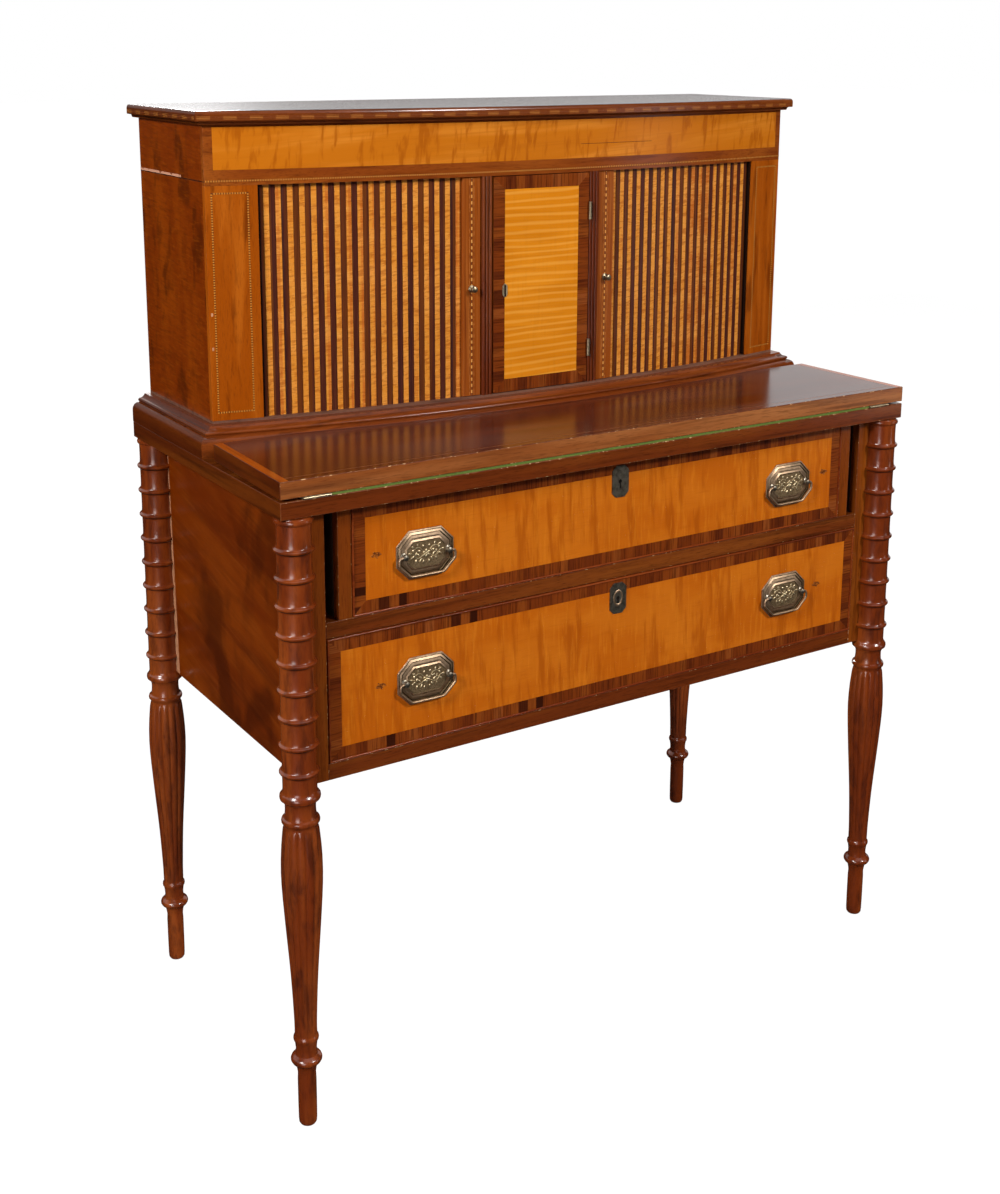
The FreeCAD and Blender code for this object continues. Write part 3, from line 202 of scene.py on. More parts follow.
def spun(name, profile, steps):
    """A closed turning about Z from a list of (radius, height) in mm."""
    mesh = bpy.data.meshes.new(name)
    edges = [(number, number + 1) for number in range(len(profile) - 1)]
    mesh.from_pydata([at(radius, 0, height) for radius, height in profile], edges, [])
    piece = linked(name, mesh)
    open_mesh(piece)
    bpy.ops.mesh.spin(steps=steps, angle=2 * pi, center=(0, 0, 0), axis=(0, 0, 1))
    bpy.ops.mesh.select_all(action="SELECT")
    bpy.ops.mesh.remove_doubles(threshold=0.002 * mm)
    close_mesh()
    return piece


def copied(piece):
    """A copy with its own mesh."""
    return linked(piece.name, piece.data.copy())


def mirrored(piece, x, y=1):
    """A piece mirrored in X, in Y or in both, with its faces outwards."""
    piece.data.transform(Matrix.Diagonal((x, y, 1, 1)))
    if x * y < 0:
        piece.data.flip_normals()
    return piece


def shift(piece, x=0.0, y=0.0, z=0.0):
    """A piece moved by millimetres."""
    piece.data.transform(Matrix.Translation(at(x, y, z)))
    return piece


def finished(piece, *materials):
    """A piece in these materials and no others."""
    piece.data.materials.clear()
    for material in materials:
        piece.data.materials.append(material)
    return piece


def finish_faces(piece, material, chosen):
    """One more material, on the faces that are chosen."""
    piece.data.materials.append(material)
    for face in piece.data.polygons:
        if chosen(face):
            face.material_index = len(piece.data.materials) - 1
    return piece


def place(piece, name, material, slot, *nodes, body="case_body", smooth=35):
    """Finish a piece: name, shading and material. It rides on a body and replaces nodes."""
    piece.name = name
    piece.data.name = name
    select_only(piece)
    bpy.ops.object.shade_smooth_by_angle(angle=radians(smooth))
    use_modifier(piece, "WEIGHTED_NORMAL", keep_sharp=True)
    if material is not None:
        finished(piece, material)
    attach(piece, body)
    if nodes:
        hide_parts(*nodes)


turned_wood = layered("mahogany_turned", "#702b08", [
    ((30, 30, 300), "#9a4a18", 0.7, 0.42, 0.7),
    ((12, 12, 44), "#34120a", 0.6, 0.44, 0.72),
    ((0.9, 0.9, 10), "#240b03", 0.34, 0.5, 0.74),
], 0.21, specular=0.62, bump=0.08)
# Painted shade: a darker finish for the quirk under each ring.
turned_ring_shade = mahogany("mahogany_turned_ring_shade", "z", "#2e1006", "#180803", "#421a0a", 0.4)
RING = [(19.6, -11.0), (19.7, -5.6), (19.9, -3.8), (20.5, -2.8), (22.2, -2.0), (23.0, -0.7), (23.0, 0.7),
        (22.2, 1.7), (20.9, 2.2), (20.3, 3.0), (20.0, 4.6), (19.7, 7.5), (19.6, 13.0)]
leg_profile = [(0, 0), (6.5, 0), (9.0, 1.2), (10.4, 3.6), (10.8, 8), (11.0, 30), (11.0, 60), (10.6, 68),
               (11.4, 74), (12.6, 79), (14.2, 81.5), (16.8, 83), (18.2, 85.5), (18.4, 87.5), (17.4, 90),
               (15.2, 91.5), (13.2, 93.2), (12.4, 97), (12.3, 101), (12.8, 106), (13.4, 110), (14.6, 112),
               (14.9, 114), (14.6, 116), (13.6, 117.5), (13.0, 119)]
reeded = [(13.2, 122), (13.3, 128), (13.4, 136), (13.9, 150), (14.5, 165), (15.2, 180), (16.2, 198),
          (17.4, 216), (18.9, 236), (20.4, 256), (21.8, 276), (23.0, 294), (23.9, 311), (24.3, 326),
          (24.0, 342), (23.2, 356), (22.2, 367), (21.5, 374), (20.8, 379), (19.6, 382)]
leg_profile += reeded
leg_profile += [(19.4, 384), (20.2, 386), (21.8, 388), (22.0, 390), (21.4, 392), (19.2, 393.5),
                (18.0, 397), (17.5, 403), (17.6, 409), (19.0, 412.5), (20.5, 414), (22.8, 416),
                (23.4, 418.5), (23.1, 421), (21.6, 423), (20.2, 425), (19.6, 428)]
for number in range(RING_COUNT):
    leg_profile += [(radius, FIRST_RING + RING_PITCH * number + rise) for radius, rise in RING]
leg_profile += [(19.6, 730), (19.8, 738), (21.6, 739.5), (22.2, 741.5), (21.6, 743.5), (20.0, 744.5),
                (19.6, 745.6), (0, 745.6)]
leg = spun("leg_turning", leg_profile, TURNING_STEPS)
# The reeds are carved in the vase: sharp valleys that deepen upwards and fade out at both ends.
reed_low, reed_high = reeded[0][1], reeded[-1][1]
for vertex in leg.data.vertices:
    height = vertex.co.z / mm
    if reed_low - 0.5 < height < reed_high + 0.5:
        angle = atan2(vertex.co.y, vertex.co.x)
        fade = min(1, (height - reed_low) / 6, (reed_high - height) / 9)
        depth = (0.9 + 1.3 * (height - reed_low) / (reed_high - reed_low)) * max(0, fade) ** 0.5
        radius = hypot(vertex.co.x, vertex.co.y)
        valley = 1 - abs(sin(angle * REED_COUNT / 2)) ** 0.7
        shrink = 1 - depth * valley * mm / radius
        vertex.co.x *= shrink
        vertex.co.y *= shrink
shift(finished(leg, turned_wood), x=-442, y=-207.5)


def in_a_quirk(face):
    """Whether a face of the column lies 1.9 to 4 mm below the middle of a ring."""
    height = face.center.z / mm
    return 440 < height < 730 and (height - FIRST_RING + 4.0) % RING_PITCH < 2.1


# Painted shade: the quirk under each ring is darker, for the shadow under the ring's lip.
finish_faces(leg, turned_ring_shade, in_a_quirk)
# The front stile and the side panel are let into the column.
for x, y in ((-425, -204.5), (-431, -192.5)):
    cutter = board(at(x, y, 425), at(-380, -150, 760))
    use_modifier(leg, "BOOLEAN", operation="DIFFERENCE", object=cutter, solver="EXACT")
    bpy.data.objects.remove(cutter)
for name, x, y in (("leg_front_left", 1, 1), ("leg_front_right", -1, 1),
                   ("leg_rear_left", 1, -1), ("leg_rear_right", -1, -1)):
    place(mirrored(copied(leg), x, y), name + "_turned", None, "mahogany", name)
bpy.data.objects.remove(leg)

# ---- Lower case ----
# Boards of mahogany with eased edges: side panels with a slanting flame figure, a pine
# back, the front stiles and rails. The boards are glued and dowelled to the legs.
panel_flame = layered("mahogany_flame_veneer", "#6a2600", [
    ((200, 300, 60), "#803602", 0.8, 0.42, 0.66, (-10, 0, 0)),
    ((90, 190, 22), "#4d1b03", 0.45, 0.46, 0.7, (-10, 0, 0)),
    ((60, 90, 4), "#8f4710", 0.3, 0.5, 0.7, (-12, 0, 0)),
    ((260, 90, 130), "#380f00", 0.62, 0.46, 0.64),
    ((1.2, 30, 1.2), "#451703", 0.25, 0.5, 0.75, (-10, 0, 0)),
], 0.28, specular=0.2, bump=0.1)


def oiled_pine(name, rings, pores):
    """Pine with its growth rings and pores drawn at sizes in mm along X, Y and Z."""
    layers = [(rings, "#8f6330", 0.7, 0.45, 0.7), (pores, "#7a5228", 0.35, 0.5, 0.75)]
    return layered(name, "#a8804a", layers, 0.6, bump=0.2)


pine = oiled_pine("pine_oiled", (14, 14, 500), (2, 2, 60))
pine_long = oiled_pine("pine_oiled_long_grain", (500, 14, 14), (60, 2, 2))
pine_level = oiled_pine("pine_oiled_level_grain", (180, 180, 12), (60, 60, 2))
pine_stained = layered("pine_stained_dark", "#3c2517", [((500, 14, 14), "#2a180f", 0.7, 0.45, 0.7)], 0.7)
# Polish wears through on the long edges and leaves a broken, paler line.
worn_edge = layered("mahogany_worn_edge", "#5e290e", [
    ((14, 14, 14), "#7d4a26", 0.7, 0.45, 0.62),
    ((4, 4, 4), "#d2a878", 0.85, 0.6, 0.66),
], 0.35)


def eased_copy(node, width, finish, edge=None):
    """A copy of a CAD board, cleaned to whole faces, its edges eased and maybe worn."""
    piece = linked(node + "_board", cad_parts[node].data.copy())
    open_mesh(piece)
    bpy.ops.mesh.remove_doubles(threshold=0.01 * mm)
    bpy.ops.mesh.dissolve_limited(angle_limit=radians(0.6))
    bpy.ops.object.mode_set(mode="OBJECT")
    finished(piece, finish, edge or finish)
    use_modifier(piece, "BEVEL", width=width * mm, segments=2, limit_method="ANGLE",
                 angle_limit=radians(40), material=1)
    return piece


def ease(node, name, width, finish, slot="mahogany", edge=None, body="case_body"):
    """A CAD board replaced by its eased copy."""
    place(eased_copy(node, width, finish, edge), name, None, slot, node, body=body)


def keep(node, material):
    """A CAD piece that stays as it is, in its own finish."""
    finished(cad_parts[node], material)


for node in ("lower_side_left", "lower_side_right"):
    ease(node, node + "_panel", 0.6, panel_flame, "mahogany_panel")
for node, wood in (("front_stiles", mahogany_upright), ("middle_rail", mahogany_across),
                   ("bottom_rail", mahogany_across)):
    ease(node, node + "_eased", 0.6, wood, edge=worn_edge)
keep("lower_back", pine_long)
keep("drawer_runners", pine)
keep("loper_guides", pine_stained)

# An old shrinkage split beside the rear left column, wide at the foot, filled with pale putty.
putty = layered("pale_putty", "#c08a66", [((4, 4, 9), "#9a6240", 0.7, 0.4, 0.65)], 0.7)
split = board(at(-431.4, 180.0, 427), at(-430.8, 192.3, 735))
for vertex in split.data.vertices:
    if vertex.co.z > 700 * mm and vertex.co.y < 188 * mm:
        vertex.co.y = 190.9 * mm
place(split, "split_filling", putty, "mahogany_panel")

# ---- Lopers ----
# Two mahogany boards on edge that slide out of slots to hold up the open leaf.
SIDES = (("left", -1), ("right", 1))
for side, _ in SIDES:
    node = "loper_" + side
    ease(node, node + "_board", 0.8, mahogany_deep, body=node + "_body")

# ---- Writing bed and fold-over leaf ----
# Two mahogany boards lined with green baize. The leaf's polished top has a lighter
# crossband along each end, and thin brass hinges lie in the seam at the front corners.
baize = layered("green_wool_baize", "#5f7434", [
    ((60, 3, 3), "#7c7038", 0.6, 0.5, 0.66),
    ((3, 3, 3), "#4c6526", 0.6, 0.4, 0.7),
    ((0.8, 0.8, 0.8), "#82964c", 0.5, 0.45, 0.7),
], 0.95, specular=0.1, bump=0.5)
brass_bright = layered("brass_hinge_plate", "#c8b898", [
    ((7, 7, 7), "#a49070", 0.6, 0.4, 0.68),
    ((1.6, 1.6, 1.6), "#75644a", 0.3, 0.55, 0.75),
], 0.42, bump=0.1, metallic=1.0)
brass_worn = layered("aged_brass_knob", "#9a8a70", [((3, 3, 3), "#5e5240", 0.6, 0.4, 0.68)], 0.36, bump=0.1,
                     metallic=1.0)
leaf_wood = layered("mahogany_polished_top", "#54200c", [
    ((420, 38, 38), "#6c2e12", 0.7, 0.42, 0.72),
    ((260, 9, 9), "#2e1006", 0.5, 0.45, 0.75),
    ((16, 0.9, 0.9), "#2e1006", 0.4, 0.5, 0.75),
    # Grey patches: a bloom in the old polish, and also a painted reflection haze.
    ((420, 120, 120), "#6e5650", 0.3, 0.38, 0.66),
], 0.19, specular=0.35, bump=0.05)
leaf_edge_wood = mahogany("mahogany_leaf_edge", "x", "#84461e", "#4a220e", "#a4683a")
end_band = mahogany("mahogany_crossband_end", "y", "#a04a10", "#702c08", "#b85e1c", 0.15, 0.3)
leaf_line = layered("boxwood_string_faded", "#8a5226", [((5, 5, 5), "#4a200c", 0.9, 0.45, 0.6)], 0.3)


def side_veneer(piece):
    """The ends of a wide board covered with veneer whose grain runs front to back."""
    return finish_faces(piece, mahogany_deep, lambda face: abs(face.center.x) > 400 * mm
                        and abs(face.normal.x) > max(abs(face.normal.y), 0.3))


bed_board = side_veneer(eased_copy("writing_bed", 0.9, mahogany_across, worn_edge))
place(bed_board, "writing_bed_board", None, "mahogany", "writing_bed")
leaf_board = side_veneer(eased_copy("writing_leaf", 0.9, leaf_wood, worn_edge))
finish_faces(leaf_board, leaf_edge_wood, lambda face: face.normal.y < -0.95)
place(leaf_board, "writing_leaf_board", None, "mahogany", "writing_leaf", body="leaf_body")
# The ends of the leaf run in from 464 at the front to 458 mm at the rear.
LEAF_TOP = 789
leaf_front, leaf_rear = -221.4, -30.4
for side, sign in SIDES:
    strip = board(at(sign * 453.0, leaf_front, LEAF_TOP - 0.5), at(sign * 463.2, leaf_rear, LEAF_TOP + 0.08))
    for vertex in strip.data.vertices:
        if vertex.co.y > (leaf_front + 1) * mm:
            vertex.co.x -= sign * 6.0 * mm
    place(strip, "leaf_crossband_" + side, end_band, "mahogany", body="leaf_body")
# A fine string is let in 13 mm behind the front edge of the leaf.
place(board(at(-452, -209.9, LEAF_TOP - 0.4), at(452, -209.1, LEAF_TOP + 0.06)), "leaf_string", leaf_line,
      "mahogany", body="leaf_body")
# Each baize is a wool cloth cut by hand with a knife and glued down: its edges waver a little.
for node, body, carrier in (("bed_baize", "case_body", "writing_bed_board"),
                            ("leaf_baize", "leaf_body", "writing_leaf_board")):
    low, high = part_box(node)
    size = high - low
    cloth = started("grid", x_subdivisions=134, y_subdivisions=28, size=1)
    for vertex in cloth.data.vertices:
        x, y = vertex.co.x * size.x, vertex.co.y * size.y
        inward_x = 0.25 + 0.14 * sin(y / (9 * mm)) + 0.1 * sin(y / (3.1 * mm))
        inward_y = 0.25 + 0.14 * sin(x / (11 * mm)) + 0.1 * sin(x / (3.7 * mm))
        vertex.co = (x * (1 - 2 * inward_x * mm / size.x), y * (1 - 2 * inward_y * mm / size.y), size.z / 2)
    cloth.data.transform(Matrix.Translation((low + high) / 2))
    use_modifier(cloth, "SOLIDIFY", thickness=size.z, offset=-1)
    use_modifier(cloth, "BEVEL", width=0.4 * mm, segments=2, limit_method="ANGLE")
    place(cloth, node + "_cloth", baize, "green_baize", node, body=body)
keep("leaf_hinge_bed_plates", brass_bright)
keep("leaf_hinge_leaf_plates", brass_bright)

# ---- Drawer faces ----
# Each drawer front has a satinwood field with a soft upright ribbon figure, in a border of
# rosewood laid across the run in short blocks and mitred, with a cock bead round it all.
satinwood = layered("satinwood_ribbon_veneer", "#b25808", [
    ((150, 150, 70), "#c06812", 0.8, 0.42, 0.66),
    ((11, 11, 90), "#9a4604", 0.7, 0.47, 0.68, (0, 3, 0)),
    ((4, 4, 40), "#cc7618", 0.4, 0.5, 0.72),
    ((30, 30, 1.6), "#a04c08", 0.25, 0.5, 0.7),
    ((1.3, 1.3, 1.3), "#f2dcb4", 0.6, 0.755, 0.775),
], 0.25, bump=0.05)


def crossband(name, run):
    """Rosewood cut across the run, in blocks of differing tone."""
    material, tree, shader = new_material(name, 0.25, 0.1)
    where = add(tree, "TexCoord").outputs["Object"]
    axes = add(tree, "SeparateXYZ", {"Vector": where})
    # Blocks are 6 to 20 mm long. Each band of the borders, 100 mm from the next, has a row of its own.
    across, start = ("Z", 0) if run == "X" else ("X", 50 * mm)
    row = axes.outputs[across]
    for step, value in (("ADD", start), ("DIVIDE", 100 * mm), ("FLOOR", 0), ("MULTIPLY", 7.3)):
        row = add(tree, "Math", {0: row, 1: value}, operation=step).outputs[0]
    blocks = add(tree, "Math", {0: axes.outputs[run], 1: 1 / (13 * mm), 2: row}, operation="MULTIPLY_ADD")
    cells = add(tree, "TexVoronoi", {"W": blocks.outputs[0], "Scale": 1.0, "Randomness": 0.9},
                voronoi_dimensions="1D")
    tone = add(tree, "SeparateColor", {"Color": cells.outputs["Color"]})
    ramp = add(tree, "ValToRGB", {"Fac": tone.outputs[0]})
    stops = ramp.color_ramp.elements
    stops[0].color, stops[1].color = linear("#301207"), linear("#84421a")
    for position, code in ((0.07, "#5e260b"), (0.3, "#6e2e0b"), (0.65, "#78360e"), (0.85, "#7e3c11")):
        stops.new(position).color = linear(code)
    # Growth lines 2 mm apart run across the band.
    scale = [1 / (1.9 * mm) if axis == run else 1 / (40 * mm) for axis in "XYZ"]
    lines = add(tree, "TexNoise", {
        "Vector": add(tree, "Mapping", {"Vector": where, "Scale": scale}).outputs[0],
        "Scale": 1.0, "Detail": 3.0, "Distortion": 0.3,
    })
    share = add(tree, "MapRange", {
        "Value": lines.outputs[0], "From Min": 0.45, "From Max": 0.66, "To Max": 0.62,
    })
    grained = {0: share.outputs[0], 6: ramp.outputs[0], 7: linear("#300f04")}
    mixed = add(tree, "Mix", grained, data_type="RGBA")
    tree.links.new(mixed.outputs[2], shader.inputs["Base Color"])
    return material


rosewood_long = crossband("rosewood_crossband_long_run", "X")
rosewood_upright = crossband("rosewood_crossband_upright_run", "Z")
bead_wood = mahogany("mahogany_cock_bead", "x", "#702c0e", "#3c1306", "#8e4218")


def pick(piece, kind, test):
    """In edit mode, the vertices or edges that pass a test."""
    select_only(piece)
    bpy.ops.object.mode_set(mode="EDIT")
    bpy.ops.mesh.select_mode(type=kind)
    bpy.ops.mesh.select_all(action="DESELECT")
    bpy.ops.object.mode_set(mode="OBJECT")
    for part in {"VERT": piece.data.vertices, "EDGE": piece.data.edges}[kind]:
        part.select = test(part)
    bpy.ops.object.mode_set(mode="EDIT")


def mitred(low, high, across, inward):
    """A strip of veneer, mitred: across is its narrow axis, inward the sign of its shorter side."""
    piece = board(low, high)
    run = 2 - across
    middle = [(a + b) / 2 for a, b in zip(low, high)]
    pick(piece, "VERT", lambda vertex: (vertex.co[across] - middle[across]) * inward > 0)
    factor = [1, 1, 1]
    factor[run] = 1 - 2 * (high[across] - low[across]) / (high[run] - low[run])
    bpy.ops.transform.resize(value=factor, center_override=middle)
    bpy.ops.object.mode_set(mode="OBJECT")
    return piece


def veneered(name, low, high, band, field, body, node):
    """A field and its four mitred crossbands, one veneer thick."""
    (x0, y0, z0), (x1, y1, z1) = low, high
    # A saw-cut's width of 0.15 mm shows as a fine dark line between veneers.
    line = 0.15 * mm
    for part, piece, material, slot in (
        ("field", board((x0 + band, y0, z0 + band), (x1 - band, y1, z1 - band)), field, "satinwood"),
        ("band_bottom", mitred((x0, y0, z0), (x1, y1, z0 + band - line), 2, 1), rosewood_long, "rosewood"),
        ("band_top", mitred((x0, y0, z1 - band + line), (x1, y1, z1), 2, -1), rosewood_long, "rosewood"),
        ("band_left", mitred((x0, y0, z0), (x0 + band - line, y1, z1), 0, 1), rosewood_upright, "rosewood"),
        ("band_right", mitred((x1 - band + line, y0, z0), (x1, y1, z1), 0, -1), rosewood_upright, "rosewood"),
    ):
        place(piece, "%s_%s" % (name, part), material, slot, node, body=body)


FACING = (radians(90), 0, 0)


def bead_frame(low, high, width, radius):
    """A square bead round an opening: a frame with its front edges rounded."""
    (x0, y0, z0), (x1, y1, z1) = low, high
    piece = started("plane", (x1 - x0, z1 - z0, 1), size=1, location=((x0 + x1) / 2, y0, (z0 + z1) / 2),
                    rotation=FACING)
    open_mesh(piece)
    bpy.ops.mesh.inset(thickness=width)
    bpy.ops.mesh.delete(type="FACE")
    bpy.ops.mesh.select_all(action="SELECT")
    bpy.ops.mesh.extrude_region_move(TRANSFORM_OT_translate={"value": (0, y1 - y0, 0)})
    close_mesh()
    use_modifier(piece, "BEVEL", width=radius, segments=3, limit_method="ANGLE")
    return piece


# Plugged screw holes of older pulls: a dark ragged ring in the veneer outside each pull.
plug = layered("dark_plug_in_veneer", "#7a3d10", [
    ((2.2, 2.2, 2.2), "#3c1a08", 0.9, 0.42, 0.6),
    ((3.5, 3.5, 1.2), "#b8651a", 0.9, 0.5, 0.62),
], 0.35)
BORDER, BEAD_WIDTH, BEAD_EASE, PLUG_RADIUS = at(14.5, 2.2, 0.9, 4.6)
for drawer, (plug_x, plug_z) in {"upper_drawer": (340.5, 683), "lower_drawer": (336.5, 525)}.items():
    body = drawer + "_body"
    low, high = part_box(drawer + "_veneer")
    veneered(drawer + "_face", low, high, BORDER, satinwood, body, drawer + "_veneer")
    bead = bead_frame(*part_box(drawer + "_cockbead"), BEAD_WIDTH, BEAD_EASE)
    place(bead, drawer + "_cock_bead", bead_wood, "rosewood", drawer + "_cockbead", body=body)
    for side, sign in SIDES:
        x, z = sign * plug_x * mm, plug_z * mm
        disc = started("circle", vertices=11, radius=PLUG_RADIUS, fill_type="NGON", rotation=FACING,
                       location=(x, low.y - 0.05 * mm, z))
        for number, vertex in enumerate(disc.data.vertices):
            reach = 0.55 + 0.85 * (number * 0.618 % 1)
            vertex.co.x = x + (vertex.co.x - x) * reach * 1.25
            vertex.co.z = z + (vertex.co.z - z) * reach
        use_modifier(disc, "SOLIDIFY", thickness=0.3 * mm, offset=-1)
        place(disc, "%s_plug_%s" % (drawer, side), plug, "satinwood", body=body)
    keep(drawer + "_front", pine_long)
    keep(drawer + "_box", pine_level)
    keep(drawer + "_lock", brass_bright)

# ---- Drawer brass ----
# Stamped eight-sided plates: a bevelled rim, a channel and a raised panel with hollow
# corners and a stippled ground. Two turned posts carry a drop handle bent to the outline.
brass_plate = layered("aged_brass_plate", "#ac9074", [
    ((7, 7, 7), "#846a50", 0.6, 0.4, 0.68),
    ((2.4, 2.4, 2.4), "#c4ab8e", 0.5, 0.5, 0.75),
    ((1.3, 1.3, 1.3), "#5a4834", 0.45, 0.52, 0.75),
], 0.46, bump=0.12, metallic=1.0)
# The punched ground has 0.6 mm dots: drawn at 1 mm so that they show.
brass_stippled = layered("aged_brass_stippled_ground", "#a48a68", [
    ((5, 5, 5), "#7c664a", 0.6, 0.4, 0.68),
    ((1.0, 1.0, 1.0), "#4e402a", 0.7, 0.46, 0.62),
], 0.55, bump=0.9, metallic=1.0)
brass_tarnished = layered("aged_brass_tarnished_channel", "#54442e", [
    ((4, 4, 4), "#2e2418", 0.7, 0.4, 0.68),
], 0.5, metallic=1.0)
brass_rubbed = layered("aged_brass_rubbed_relief", "#d2bf9a", [
    ((2, 2, 2), "#a08a66", 0.6, 0.42, 0.7),
], 0.34, metallic=1.0)
brass_dark = layered("aged_brass_dark", "#8a8274", [
    ((6, 6, 6), "#564c3e", 0.7, 0.4, 0.68),
    ((1.4, 1.4, 1.4), "#b4a890", 0.5, 0.5, 0.75),
], 0.4, bump=0.15, metallic=1.0)


def plate(width, height, corner, thickness, steps):
    """A plate facing the front with cut corners, raised by insets of (width, rise) in mm."""
    piece = started("plane", (width * mm, height * mm, 1), size=1, rotation=FACING)
    open_mesh(piece)
    bpy.ops.mesh.bevel(offset=corner * mm, affect="VERTICES")
    bpy.ops.mesh.select_all(action="SELECT")
    bpy.ops.mesh.extrude_region_move(TRANSFORM_OT_translate={"value": (0, -thickness * mm, 0)})
    for inset, rise in steps:
        bpy.ops.mesh.inset(thickness=inset * mm, depth=rise * mm)
    close_mesh()
    return piece


def joined(pieces):
    """Several meshes joined to one, each keeping its finish."""
    select_only(pieces[0])
    for piece in pieces[1:]:
        piece.select_set(True)
    bpy.ops.object.join()
    return bpy.context.object


def bent_rod(name, route, radius):
    """A round rod through points in mm, with closed ends."""
    curve = bpy.data.curves.new(name, "CURVE")
    curve.dimensions = "3D"
    curve.bevel_depth = radius * mm
    curve.bevel_resolution = 4
    curve.use_fill_caps = True
    spline = curve.splines.new("POLY")
    spline.points.add(len(route) - 1)
    for point, stop in zip(spline.points, route):
        point.co = (*at(*stop), 1)
    select_only(linked(name, curve))
    bpy.ops.object.convert(target="MESH")
    return bpy.context.object


def petal(x, z, turn, length, width, y, height):
    """A leaf or petal in low relief: half an egg laid on the plate, its tip turned."""
    form = started("uv_sphere", segments=12, ring_count=8, radius=1)
    form.data.transform(
        Matrix.Translation(at(x, y, z))
        @ Matrix.Rotation(radians(-turn), 4, "Y")
        @ Matrix.Diagonal((length / 2 * mm, height * mm, width / 2 * mm, 1))
    )
    return finished(form, brass_rubbed)


def facing(piece):
    """A turning laid back so that it faces the front."""
    piece.data.transform(Matrix.Rotation(radians(90), 4, "X"))
    return piece


PANEL_TOP = -3.3
base = finished(plate(75.5, 58, 16.5, 0.9, [
    (0.3, 0.5), (1.3, 0.5), (0.7, -0.9), (0.5, 0.0), (2.2, 1.3), (0.6, -0.8), (0.7, 0.0), (2.3, 1.0),
    (0.8, 0.0),
]), brass_plate)
panel = finished(plate(55, 36, 9.5, 1.0, [(1.9, 1.2), (0.6, 0.0), (0.6, -0.5)]), brass_plate)
# The punched ground fills the middle of the panel.
finish_faces(panel, brass_stippled, lambda face: face.area > 900 * mm * mm)
# Tarnish has stayed in the channels, at these depths in mm, and in the step of the panel.
for part, depths in ((base, (1.0, 1.45, 1.5, 1.9)), (panel, (1.95,))):
    finish_faces(part, brass_tarnished,
                 lambda face: any(abs(-face.center.y / mm - depth) < 0.06 for depth in depths))
parts = [base, shift(panel, y=-1.6)]
POST_X = 29.0
post_profile = [(0, 0), (4.6, 0), (4.6, 0.8), (3.0, 1.8), (2.6, 3.0), (3.0, 4.0), (3.6, 5.2), (3.3, 6.6),
                (1.8, 7.3), (0, 7.4)]
for _, sign in SIDES:
    post = facing(spun("post", post_profile, 24))
    parts.append(finished(shift(post, x=POST_X * sign, y=-2.0), brass_dark))
# A generic plant motif in low relief: a six-petalled flower between two curling sprigs.
for turn in range(30, 390, 60):
    x, z = 3.3 * cos(radians(turn)), 3.3 * sin(radians(turn))
    parts.append(petal(x, z, turn, 4.4, 2.8, PANEL_TOP, 1.1))
parts.append(petal(0, 0, 0, 2.8, 2.8, PANEL_TOP - 0.4, 1.2))
for _, sign in SIDES:
    for sprig in ([(4.5, -1.5), (8, -4.2), (12, -4.6), (15.5, -2.0), (17.6, 1.6), (20.5, 3.2)],
                  [(5.0, 4.0), (8.0, 7.6), (12.0, 8.6), (15.6, 6.8)]):
        stem = bent_rod("sprig", [(sign * x, PANEL_TOP - 0.2, z) for x, z in sprig], 0.55)
        parts.append(finished(stem, brass_rubbed))
    for x, z, turn, length in ((7.4, -7.2, -60, 5.4), (9.8, -1.2, 60, 5.0), (13.2, -7.6, -75, 5.2),
                               (13.4, 0.6, 100, 5.0), (18.4, -2.4, -35, 5.2), (17.0, 5.0, 95, 4.8),
                               (21.6, 2.4, 10, 4.0), (8.6, 3.6, 20, 4.4), (11.4, 11.0, 70, 4.0),
                               (17.4, 9.2, 30, 4.4), (3.6, -9.6, -80, 4.6)):
        parts.append(petal(sign * x, z, turn if sign > 0 else 180 - turn, length, 2.2, PANEL_TOP, 1.0))
    parts.append(petal(sign * 4.0, 9.6, 90, 2.6, 2.6, PANEL_TOP, 1.1))
pull = joined(parts)

# The drop handle pivots in the posts and follows the lower edge of the plate.
half_route = [(POST_X - 2.5, 0), (POST_X + 3, 0), (35.4, -0.8), (36.6, -3.4), (36.7, -8.6), (36.0, -10.6),
              (23.0, -23.2), (20.6, -24.2), (16, -24.4)]
bail_route = [(x, 0, z) for x, z in half_route] + [(-x, 0, z) for x, z in reversed(half_route)]
bail = bent_rod("bail", bail_route, 1.6)

PULL_X, FACE_Y = 277, -204.5
BAIL_Y = FACE_Y - 2.0 - 7.4 + 2.8
for drawer, pull_z in (("upper_drawer", 675.0), ("lower_drawer", 522.0)):
    pulls = []
    for side, sign in SIDES:
        pulls.append(shift(copied(pull), PULL_X * sign, FACE_Y, pull_z))
        handle = shift(copied(bail), PULL_X * sign, BAIL_Y, pull_z)
        node = "%s_bail_%s" % (drawer, side)
        place(handle, node + "_rod", brass_plate, "aged_brass", node, body=node + "_body")
    place(joined(pulls), drawer + "_stamped_plates", None, "aged_brass", drawer + "_pull_plates",
          body=drawer + "_body", smooth=28)
bpy.data.objects.remove(pull)
bpy.data.objects.remove(bail)
# A shadowed hole shows through each escutcheon.
lock_dark = layered("lock_shadow", "#120a06", [((5, 5, 5), "#1c110a", 0.5, 0.4, 0.6)], 0.8)
KEYHOLES = {"upper_drawer": 719, "lower_drawer": 568}
for drawer, hole_z in KEYHOLES.items():
    keep(drawer + "_escutcheon", brass_dark)
    place(board(at(-2.8, FACE_Y - 0.16, hole_z - 10), at(2.8, FACE_Y + 0.1, hole_z + 3)),
          drawer + "_keyhole_shadow", lock_dark, "aged_brass", body=drawer + "_body")
